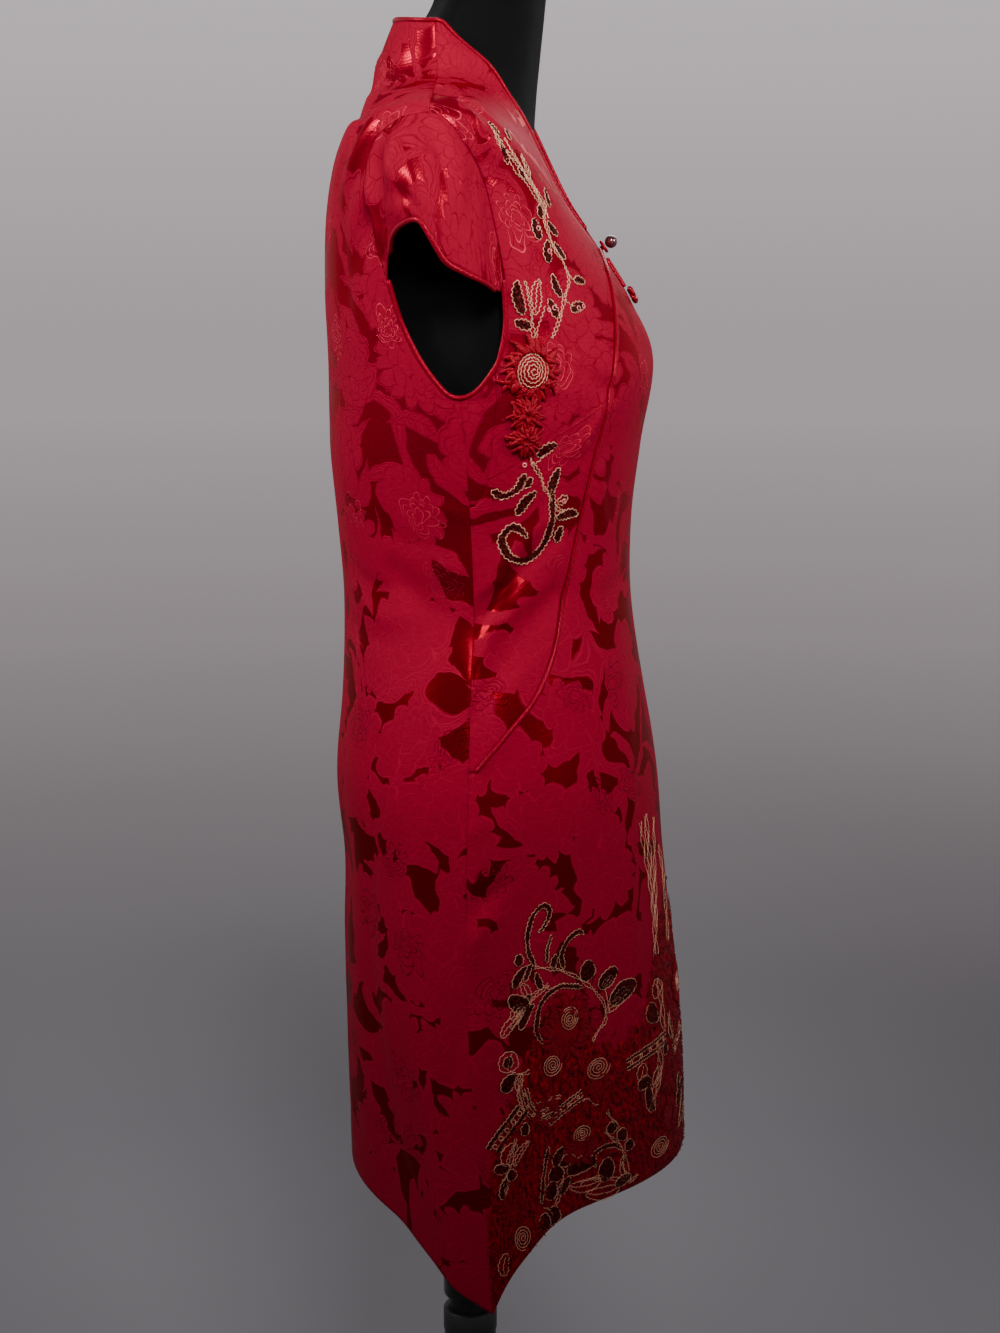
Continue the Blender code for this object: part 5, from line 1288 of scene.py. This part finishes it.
HEM_STEMS = [
    Stem([(65.5, 2.26), (60.5, 2.22), (55.0, 2.14), (48.5, 1.98), (43.5, 1.80), (42.0, 1.62),
        (44.5, 1.54), (46.5, 1.46)], 2),
    Stem([(60.5, 2.06), (64.5, 2.00), (68.0, 1.90), (72.0, 1.74)], 3),
    Stem([(51.0, 2.00), (57.0, 2.04), (61.0, 2.02)], 1),
    Stem([(43.0, 1.92), (41.5, 1.78), (41.0, 1.66)], 1),
    Stem([(72.5, 1.40), (69.5, 1.38), (66.0, 1.38)], 2),
    Stem([(68.5, 1.34), (69.5, 1.24), (68.0, 1.10)], 2),
    Stem([(67.5, 1.24), (65.5, 1.14), (62.0, 1.10), (59.0, 1.12), (56.0, 1.10)], 2),
    Stem([(70.5, 0.92), (72.0, 0.78), (74.0, 0.66), (74.5, 0.58)], 2),
    Stem([(49.5, 1.00), (48.0, 1.00), (46.0, 0.94), (44.5, 0.92)], 1),
    Stem([(42.0, 0.82), (39.5, 0.70), (38.0, 0.62)], 2),
    Stem([(42.5, 0.64), (39.0, 0.52), (36.5, 0.40), (35.5, 0.32)], 2),
    Stem([(49.5, 0.26), (44.5, 0.24), (39.0, 0.16), (34.0, 0.08), (31.0, 0.10)], 2),
    Stem([(37.0, 0.28), (35.0, 0.16), (33.5, 0.06)], 2),
    Stem([(55.5, 0.62), (56.5, 0.54), (55.0, 0.38), (56.0, 0.24), (57.5, 0.18)], 2),
    Stem([(61.5, 0.26), (59.0, 0.18), (57.0, 0.06)], 1),
    Stem([(21.0, 1.74), (19.0, 1.58), (19.0, 1.42), (18.0, 1.28)], 3),
    Stem([(22.5, 1.18), (22.0, 0.96), (24.5, 0.82), (26.0, 0.64)], 3),
    Stem([(8.5, 0.68), (7.0, 0.48), (3.5, 0.26)], 3),
    Stem([(15.0, 1.40), (15.0, 1.28), (14.0, 1.16)], 2),
    Stem([(21.5, 3.60), (20.5, 3.25), (19.5, 2.90), (19.5, 2.50), (20.0, 2.20), (20.5, 1.98)], 3),
    Stem([(25.5, 3.55), (23.2, 3.15), (21.4, 2.80), (20.4, 2.40)], 2),
    Stem([(15.0, 3.50), (16.2, 3.10), (17.4, 2.70), (19.0, 2.25)], 2),
    Stem([(12.0, 3.10), (9.0, 2.85), (8.5, 2.50), (10.0, 2.00)], 3),
]
HEM_BANDS = [
    Band([(35.5, 1.16), (27.5, 1.20), (17.5, 1.22)], 0.0048, 5),
    Band([(79.0, 0.88), (73.0, 1.00), (68.0, 1.12)], 0.0056, 5),
    Band([(60.0, 0.94), (55.0, 1.00), (49.5, 1.06)], 0.0040, 4),
    Band([(68.0, 1.26), (66.5, 1.12), (63.5, 1.02), (59.5, 1.02)], 0.0034, 4),
]
HEM_SHIFTS = [(-47.0, 0.10), (-84.0, -0.05)]


def cloth_path(spots, step):
    """A line over the cloth through spots, at even steps, with its normals and its lengths."""
    spots = np.array(spots, float)
    fine = smooth_line(spots,
        [16] * (len(spots) - 1)) if len(spots) > 2 else spots[0] + (spots[1]
        - spots[0]) * np.linspace(0, 1, 17)[:, None]
    points, out = on_dress(fine[:, 0], fine[:, 1])
    (points, out), at = even_line(points, [out], step)
    return points, unit(out), at


LEAF_GROWTH = 1.18


class Embroidery:
    """The gold cord, the dark sequins and the pink rings of one embroidered area."""

    def __init__(self, seed, ground, radius, ripple):
        self.ground, self.radius, self.ripple = ground, radius, ripple
        self.cords, self.fills, self.rings = Gathering(), Gathering(), Gathering()
        self.chance = random.Random(seed)

    def wavy(self, points, out, at, away, closed=False):
        """Couched cord along a line, in small waves."""
        along = unit(np.gradient(points, axis=0))
        aside = unit(np.cross(out, along))
        start = self.chance.uniform(0, 6)
        wave = self.ripple * np.sin(at / 0.00056 + start) + 0.00022 * np.sin(at / 0.0021 + start)
        line = points + aside * (away + wave)[:, None] + out * (self.ground + 0.0004)
        self.cords.cord(line, out, self.radius, closed)

    def outline(self, points, out, at, half):
        """Couched cord round a leaf or scroll, out along one side and back along the other."""
        along = unit(np.gradient(points, axis=0))
        aside = unit(np.cross(out, along))
        start = self.chance.uniform(0, 6)
        wave = self.ripple * np.sin(at / 0.00056 + start) + 0.00018 * np.sin(at / 0.0021 + start)
        lift = out * (self.ground + 0.0004)
        there = points + aside * (half + wave)[:, None] + lift
        back = (points - aside * (half - wave)[:, None] + lift)[::-1]
        self.cords.cord(np.concatenate((there, back[1:-1])), np.concatenate((out, out[::-1][1:-1])),
            self.radius, closed=True)

    def fill(self, points, out, at, half):
        """A padded ground of sequins between two outlines, with single ones tilted on it."""
        along = unit(np.gradient(points, axis=0))
        aside = unit(np.cross(out, along))
        shares = np.linspace(-1, 1, 7)
        height = self.ground + 0.00010 + 0.00040 * (1 - shares**2) ** 0.5
        net = points[:, None] + aside[:, None] * (half[:, None] * shares
            * 0.86)[..., None] + out[:, None] * height[None, :, None]
        flat = np.stack((at[:, None] + np.zeros(7), half[:, None] * shares), -1) + self.chance.uniform(0, 1)
        count = len(points)
        faces = [(i * 7 + j, (i + 1) * 7 + j, (i + 1) * 7 + j + 1, i * 7 + j + 1)
            for i in range(count - 1) for j in range(6)]
        self.fills.add(net.reshape(-1, 3), faces, flat.reshape(-1, 2))
        angle = np.arange(6) * math.pi / 3
        for i in range(1, count - 1):
            lanes = max(int(half[i] * 0.86 / 0.0009), 0)
            for lane in range(-lanes, lanes + 1):
                if (i + lane) % 2:
                    continue
                middle = points[i] + aside[i] * lane * 0.0009 + out[i] * (self.ground + 0.00065)
                lean_a, lean_b = self.chance.uniform(-0.5, 0.5), self.chance.uniform(-0.5, 0.5)
                disc = middle + 0.00082 * (
                    np.cos(angle)[:, None] * (along[i] + out[i] * lean_a) + np.sin(angle)[:, None]
                    * (aside[i] + out[i] * lean_b)
                )
                self.fills.add(disc, [tuple(range(6))], np.full((6, 2), self.chance.uniform(0, 3)))

    def ring(self, points, out, radius):
        """A small ring of pink beads round a sequin."""
        angle = np.linspace(0, 2 * math.pi, 14, endpoint=False)
        up = unit(np.array((0.0, 0.0, 1.0)) - out * out[2])
        aside = np.cross(up, out)
        line = points + radius * (np.cos(angle)[:, None] * aside + np.sin(angle)[:, None]
            * up) + out * (self.ground + 0.0010)
        self.rings.cord(line, np.tile(out, (14, 1)), 0.00040, closed=True)

    def leaf(self, entry):
        """A pointed leaf."""
        angle = math.radians(entry.angle)
        share = np.linspace(-0.5, 0.5, 9)
        bow = 0.10 * entry.length * (1 - 4 * share**2)
        share = share * LEAF_GROWTH
        x = share * entry.length * math.cos(angle) - bow * math.sin(angle)
        y = share * entry.length * math.sin(angle) + bow * math.cos(angle)
        turn, level = spread(entry.turn, entry.level, x, y)
        points, out, at = cloth_path(np.stack((turn, level), -1), 0.00075)
        half = LEAF_GROWTH * entry.width / 2 * np.sin(math.pi * np.clip(at / at[-1], 0, 1) ** 0.85) ** 0.52
        self.outline(points, out, at, half)
        if entry.filled:
            self.fill(points, out, at, np.maximum(half - 0.0004, 0.0))
        else:
            self.wavy(points[2:-2], out[2:-2], at[2:-2], np.zeros(len(at) - 4))

    def scroll(self, entry):
        """A curling band with round ends."""
        points, out, at = cloth_path(entry.spots, 0.00075)
        share = at / at[-1]
        half = entry.half_width * np.clip(np.minimum(share, 1 - share) * 9, 0,
            1) ** 0.5 * (0.86 + 0.14 * np.sin(at / 0.004))
        self.outline(points, out, at, half)
        self.fill(points, out, at, np.maximum(half - 0.0004, 0.0))

    def stem(self, entry):
        """A couched stem; on the middle of the front its cords lie wider apart."""
        gap = 0.0036 if entry.spots[0][0] < 27 else 0.0016
        points, out, at = cloth_path(entry.spots, 0.00075)
        for index in range(entry.cords):
            away = (index - (entry.cords - 1) / 2) * gap
            self.wavy(points, out, at,
                np.full(len(at), away) + 0.35 * gap * np.sin(at / 0.0031 + 2.1 * index))

    def band(self, entry):
        """A straight band: an outline each side, dark bars, and circles between them."""
        points, out, at = cloth_path(entry.spots, 0.00075)
        half = np.full(len(at), entry.half_width)
        for away in (-1.0, -0.42, 0.42, 1.0):
            self.wavy(points, out, at, half * away)
        along = unit(np.gradient(points, axis=0))
        aside = unit(np.cross(out, along))
        for away in (-0.71, 0.71):
            self.fill(points + aside * (half * away)[:, None], out, at, half * 0.20)
        for index in range(entry.circles):
            i = int((index + 0.5) / entry.circles * (len(at) - 1))
            angle = np.linspace(0, 2 * math.pi, 16, endpoint=False)
            line = points[i] + entry.half_width * 0.30 * (np.cos(angle)[:, None] * along[i]
                + np.sin(angle)[:, None] * aside[i])
            self.cords.cord(line + out[i] * (self.ground + 0.0005), np.tile(out[i], (16, 1)), 0.00030,
                closed=True)

    def finish(self, name):
        """Makes the pieces of the area."""
        add_piece(name + "_gold_cord", self.cords.mesh(name + "_gold_cord"), gold, "deep_red_ribbon")
        add_piece(name + "_sequins", self.fills.mesh(name + "_sequins"), sequin, "dark_glass_bead")
        if self.rings.count:
            add_piece(name + "_pink_rings", self.rings.mesh(name + "_pink_rings"), ring_pink,
                "dark_glass_bead")


chest = Embroidery(3, 0.0, 0.00034, 0.00065)
for entry in CHEST_LEAVES:
    chest.leaf(entry)
for entry in CHEST_SCROLLS:
    chest.scroll(entry)
for entry in CHEST_STEMS:
    chest.stem(entry)
for entry in CHEST_RINGS:
    points, out = on_dress(np.array([entry.turn]), np.array([entry.level]))
    chest.ring(points[0], out[0], entry.radius)
chest.finish("chest")

border = Embroidery(8, 0.0007, 0.00026, 0.00045)
for entry in HEM_LEAVES:
    border.leaf(entry)
for entry in HEM_SCROLLS:
    border.scroll(entry)
for entry in HEM_STEMS:
    border.stem(entry)
for entry in HEM_BANDS:
    border.band(entry)
border.finish("right_border")

far_border = Embroidery(9, 0.0007, 0.00026, 0.00045)
for shift, rise in HEM_SHIFTS:
    for index, entry in enumerate(HEM_LEAVES[:33]):
        turn = entry.turn + shift
        if -54 < turn < 12 and index % 3 != 2 and entry.level + rise > 0.1:
            far_border.leaf(entry._replace(turn=turn, level=entry.level + rise, angle=entry.angle + 15))
    for entry in HEM_SCROLLS + HEM_STEMS:
        spots = [(turn + shift, level + rise) for turn, level in entry.spots]
        if -54 < min(spots)[0] and max(spots)[0] < 14 and min(level for turn, level in spots) > 0.1:
            if isinstance(entry, Scroll):
                far_border.scroll(entry._replace(spots=spots))
            else:
                far_border.stem(entry._replace(spots=spots))
    for entry in HEM_BANDS[1:]:
        spots = [(turn + shift, level + rise) for turn, level in entry.spots]
        if -54 < min(spots)[0] and max(spots)[0] < 14:
            far_border.band(entry._replace(spots=spots))
far_border.finish("left_border")

# The dress form. A padded torso without arms or legs, covered in close black jersey with a seam
# down each side and down the middle, its neck closed by a plastic cap.

# Columns as for the body of the dress. Rows run from the foot of the torso to the top of the neck.
FORM_ROWS = np.array([
    (0.1230, 0.8000, 0.0210, 0.150, 0.800, -0.0740, 0.8000, 1.00, 0.95, 2, 2),
    (0.1380, 0.8350, 0.0210, 0.166, 0.835, -0.0840, 0.8350, 1.00, 0.95, 2, 2),
    (0.1410, 0.8850, 0.0210, 0.172, 0.885, -0.0910, 0.8850, 1.00, 0.95, 2, 2),
    (0.1270, 0.9450, 0.0210, 0.156, 0.945, -0.0860, 0.9450, 1.00, 0.95, 2, 2),
    (0.1110, 1.0100, 0.0210, 0.131, 1.010, -0.0780, 1.0100, 0.95, 0.95, 2, 2),
    (0.1130, 1.0700, 0.0200, 0.135, 1.066, -0.0860, 1.0700, 0.92, 0.92, 2, 2),
    (0.1240, 1.1300, 0.0180, 0.150, 1.120, -0.0960, 1.1280, 0.88, 0.88, 2, 2),
    (0.1360, 1.1930, 0.0140, 0.162, 1.170, -0.0990, 1.1890, 0.84, 0.88, 2, 2),
    (0.1180, 1.2370, 0.0030, 0.167, 1.235, -0.1000, 1.2490, 0.84, 0.86, 2, 2),
    (0.0920, 1.2770, -0.0030, 0.172, 1.298, -0.0970, 1.3030, 0.84, 0.86, 2, 2),
    (0.0700, 1.3070, -0.0020, 0.174, 1.350, -0.0870, 1.3390, 0.89, 0.89, 2, 2),
    (0.0560, 1.3360, -0.0070, 0.132, 1.3801, -0.0765, 1.3610, 0.95, 0.94, 2, 2),
    (0.0520, 1.3600, -0.0110, 0.078, 1.3938, -0.0680, 1.3830, 1.10, 1.00, 2, 2),
    (0.0530, 1.3860, -0.0100, 0.058, 1.4080, -0.0560, 1.4040, 1.05, 1.00, 2, 2),
    (0.0560, 1.4180, -0.0080, 0.051, 1.4300, -0.0450, 1.4280, 1.00, 1.00, 2, 2),
    (0.0595, 1.4520, 0.0000, 0.047, 1.4560, -0.0260, 1.4580, 1.00, 1.00, 2, 2),
    (0.0630, 1.4900, 0.0120, 0.046, 1.4900, -0.0200, 1.4900, 1.00, 1.00, 2, 2),
    (0.0650, 1.5300, 0.0240, 0.045, 1.5300, -0.0170, 1.5300, 1.00, 1.00, 2, 2),
])
jersey, tree, shader = new_material("black_form_cover", 0.9, sheen=0.03, specular=0.10)
own_map = tree.nodes.new("ShaderNodeUVMap")
own_map.uv_map = "cut"
knit = tree.nodes.new("ShaderNodeTexWave")
knit.inputs["Scale"].default_value = 230.0
knit.inputs["Distortion"].default_value = 3.0
knit.inputs["Detail Scale"].default_value = 4.0
tree.links.new(own_map.outputs[0], knit.inputs["Vector"])
lint = tree.nodes.new("ShaderNodeTexNoise")
lint.inputs["Scale"].default_value = 60.0
tree.links.new(own_map.outputs[0], lint.inputs["Vector"])
tree.links.new(mixed(tree, lint.outputs[0], (0.0010, 0.0010, 0.0012), (0.0026, 0.0026, 0.0028)),
    shader.inputs["Base Color"])
bumped(tree, shader, knit.outputs["Fac"], 0.0002, 0.6)

turn_net, level_net = np.meshgrid(np.linspace(0, 360, 145), np.linspace(0, 17, 221))
points, out = on_rows(FORM_ROWS, turn_net, level_net), outward_on(FORM_ROWS, turn_net, level_net)
seam_away = np.minimum(np.abs((turn_net + 45) % 90 - 45), 8.0) * 0.0026
points = points - out * (0.0009 + 0.0008 * np.exp(-((seam_away / 0.0030) ** 2)))[..., None]
points[0, :, 2] += 0.0006
flat = np.stack((turn_net * 0.0026, level_net * 0.046), -1)
mesh = grid_mesh("form_torso_jersey", points, flat, turned=True)
shape = bmesh.new()
shape.from_mesh(mesh)
bmesh.ops.remove_doubles(shape, verts=shape.verts[:], dist=0.00001)
bmesh.ops.holes_fill(shape, edges=[edge for edge in shape.edges if edge.is_boundary], sides=200)
bmesh.ops.recalc_face_normals(shape, faces=shape.faces[:])
shape.to_mesh(mesh)
shape.free()
mesh.shade_smooth()
mesh.set_sharp_from_angle(angle=math.radians(55))
add_piece("form_torso_jersey", mesh, jersey, "black_form_cover", "form_torso")

# The stand. A steel tube slides in a wider sleeve and is held by a plastic locking collar; a hub
# joins it to a weighted round base, all in black paint or black plastic.
paint, tree, shader = new_material("black_painted_steel", 0.34, metallic=0.35, specular=0.5)
spot = tree.nodes.new("ShaderNodeTexCoord")
peel = tree.nodes.new("ShaderNodeTexNoise")
peel.inputs["Scale"].default_value = 90.0
peel.inputs["Detail"].default_value = 5.0
tree.links.new(spot.outputs["Object"], peel.inputs["Vector"])
tree.links.new(mixed(tree, peel.outputs[0], (0.006, 0.006, 0.0065), (0.013, 0.013, 0.014)),
    shader.inputs["Base Color"])
tree.links.new(calc(tree, "MULTIPLY_ADD", peel.outputs[0], 0.22, 0.22), shader.inputs["Roughness"])
bumped(tree, shader, peel.outputs[0], 0.0003, 0.25)

moulded, tree, shader = new_material("black_plastic", 0.48, specular=0.45)
spot = tree.nodes.new("ShaderNodeTexCoord")
grain = tree.nodes.new("ShaderNodeTexNoise")
grain.inputs["Scale"].default_value = 700.0
tree.links.new(spot.outputs["Object"], grain.inputs["Vector"])
tree.links.new(mixed(tree, grain.outputs[0], (0.008, 0.008, 0.0085), (0.016, 0.016, 0.017)),
    shader.inputs["Base Color"])
bumped(tree, shader, grain.outputs[0], 0.0002, 0.5)

Turned = namedtuple("Turned", "node slot profile")
STAND = [
    Turned("pole_sleeve", "black_painted_steel", [
        (0, 0.7997), (0.0220, 0.7997), (0.0220, 0.4285), (0.0217, 0.4272), (0.0210, 0.4262), (0, 0.4260)]),
    Turned("pole", "black_painted_steel", [(0, 0.4257), (0.0180, 0.4257), (0.0180, 0.4153), (0, 0.4153)]),
    Turned("lock_collar", "black_plastic", [
        (0, 0.4150), (0.0196, 0.4150), (0.0212, 0.4144), (0.0222, 0.4130), (0.0222, 0.3960),
        (0.0214, 0.3952),
        (0.0214, 0.3868), (0.0222, 0.3860), (0.0222, 0.3670), (0.0212, 0.3656), (0.0196, 0.3650),
        (0, 0.3650)]),
    Turned("pole_lower", "black_painted_steel",
        [(0, 0.3647), (0.0180, 0.3647), (0.0180, 0.0503), (0, 0.0503)]),
    Turned("base_hub", "black_plastic", [
        (0, 0.0500), (0.0226, 0.0500), (0.0240, 0.0497), (0.0250, 0.0484), (0.0262, 0.0420),
        (0.0280, 0.0320),
        (0.0300, 0.0220), (0.0318, 0.0170), (0.0345, 0.0126), (0.0345, 0.0123), (0, 0.0123)]),
    Turned("round_base", "black_painted_steel", [
        (0, 0.0120), (0.1520, 0.0120), (0.1560, 0.0113), (0.1588, 0.0092), (0.1600, 0.0060),
        (0.1600, 0.0015),
        (0.1592, 0.0004), (0.1580, 0.0), (0, 0.0)]),
]
for entry in STAND:
    name = entry.node + "_turned"
    add_piece(name, round_mesh(name, entry.profile, 72),
        paint if entry.slot == "black_painted_steel" else moulded,
              entry.slot, entry.node)
middle, half = node_frame("neck_cap")
profile = [(0, 0.0080), (0.0380, 0.0080), (0.0415, 0.0076), (0.0445, 0.0062), (0.0457, 0.0042),
    (0.0460, 0.0020), (0.0460, 0), (0, 0)]
add_piece("neck_cap_turned",
    round_mesh("neck_cap_turned", profile, 72, (middle[0], 0, middle[2] - half[2])), moulded,
          "black_plastic", "neck_cap")

# The studio: a pale floor that glows of itself with painted light, more with distance from the stand, soft
# light from above on both sides, and the camera at the photograph's place, on the wearer's right at chest
# height.
floor = bpy.data.meshes.new("studio_floor")
floor.from_pydata([(-30, -30, -0.0004), (30, -30, -0.0004), (30, 30, -0.0004), (-30, 30, -0.0004)], [],
    [(0, 1, 2, 3)])
floor_piece = bpy.data.objects.new("studio_floor", floor)
glowing_floor_material, tree, shader = new_material("pale_floor_with_painted_glow", 0.9, specular=0.1)
shader.inputs["Base Color"].default_value = (0.30, 0.295, 0.31, 1)
# Painted light: the floor emits a glow of its own, dim by the stand and brighter with distance, so that it
# brightens towards the backdrop.
shader.inputs["Emission Strength"].default_value = 1.0
spot = tree.nodes.new("ShaderNodeTexCoord")
away = tree.nodes.new("ShaderNodeVectorMath")
away.operation = "LENGTH"
tree.links.new(spot.outputs["Object"], away.inputs[0])
painted_glow_ramp = tree.nodes.new("ShaderNodeValToRGB")
tree.links.new(calc(tree, "DIVIDE", away.outputs["Value"], 30.0), painted_glow_ramp.inputs["Fac"])
FLOOR_PAINTED_GLOW = [
    (0.0, (0.018, 0.018, 0.021)), (0.05, (0.026, 0.025, 0.029)), (0.087, (0.083, 0.077, 0.082)),
    (0.153, (0.172, 0.155, 0.160)),
    (0.22, (0.232, 0.207, 0.213)), (0.333, (0.275, 0.245, 0.252)), (0.6, (0.325, 0.290, 0.299)),
    (1.0, (0.362, 0.325, 0.335)),
]
stops = painted_glow_ramp.color_ramp.elements
while len(stops) < len(FLOOR_PAINTED_GLOW):
    stops.new(0.5)
for stop, (place, tint) in zip(stops, FLOOR_PAINTED_GLOW):
    stop.position = place
    stop.color = (*tint, 1)
tree.links.new(painted_glow_ramp.outputs["Color"], shader.inputs["Emission Color"])
floor.materials.append(glowing_floor_material)
bpy.context.scene.collection.objects.link(floor_piece)

world = bpy.data.worlds.new("pale_studio")
world.use_nodes = True
tree = world.node_tree
direction = tree.nodes.new("ShaderNodeTexCoord")
upward = tree.nodes.new("ShaderNodeSeparateXYZ")
tree.links.new(direction.outputs["Generated"], upward.inputs[0])
shade = tree.nodes.new("ShaderNodeValToRGB")
tree.links.new(upward.outputs["Z"], shade.inputs["Fac"])
STUDIO_WALL = [(0.0, 0.385), (0.01, 0.39), (0.16, 0.58), (0.24, 0.44), (0.38, 0.13), (1.0, 0.07)]
stops = shade.color_ramp.elements
while len(stops) < len(STUDIO_WALL):
    stops.new(0.5)
for stop, (place, grey) in zip(stops, STUDIO_WALL):
    stop.position = place
    stop.color = (grey * 1.07, grey * 0.97, grey, 1)
tree.links.new(shade.outputs["Color"], tree.nodes["Background"].inputs["Color"])
tree.nodes["Background"].inputs["Strength"].default_value = 1.0
bpy.context.scene.world = world

Softbox = namedtuple("Softbox", "name place aim size spread power")
SOFTBOXES = [
    Softbox("key_softbox", (0.45, -1.75, 2.40), (0.03, -0.10, 1.37), 0.6, 35, 3.0),
    Softbox("front_softbox", (1.9, -0.7, 2.0), (0.08, -0.05, 1.34), 0.5, 37, 1.8),
    Softbox("back_softbox", (-1.7, -0.8, 2.1), (-0.05, -0.10, 1.27), 0.5, 37, 2.4),
    Softbox("far_softbox", (0.2, 1.9, 2.4), (0.0, 0.05, 1.20), 1.2, 120, 9.0),
]
for box in SOFTBOXES:
    light = bpy.data.lights.new(box.name, "AREA")
    light.shape = "SQUARE"
    light.size = box.size
    light.spread = math.radians(box.spread)
    light.energy = box.power
    lamp = bpy.data.objects.new(box.name, light)
    lamp.location = box.place
    lamp.rotation_euler = (Vector(box.aim) - lamp.location).to_track_quat("-Z", "Y").to_euler()
    bpy.context.scene.collection.objects.link(lamp)

CAMERA_TURN, CAMERA_PITCH = math.radians(6), math.radians(9.33)
lens = bpy.data.cameras.new("photo_camera")
lens.lens = 53.67
lens.sensor_width = 36
lens.clip_start, lens.clip_end = 0.05, 80
camera = bpy.data.objects.new("photo_camera", lens)
camera.location = (0.025 + 1.55 * math.sin(CAMERA_TURN), -1.55 * math.cos(CAMERA_TURN), 1.21)
looking = Vector((
    -math.sin(CAMERA_TURN) * math.cos(CAMERA_PITCH), math.cos(CAMERA_TURN) * math.cos(CAMERA_PITCH),
    -math.sin(CAMERA_PITCH),
))
camera.rotation_euler = looking.to_track_quat("-Z", "Y").to_euler()
bpy.context.scene.collection.objects.link(camera)
bpy.context.scene.camera = camera

bpy.context.view_layer.update()
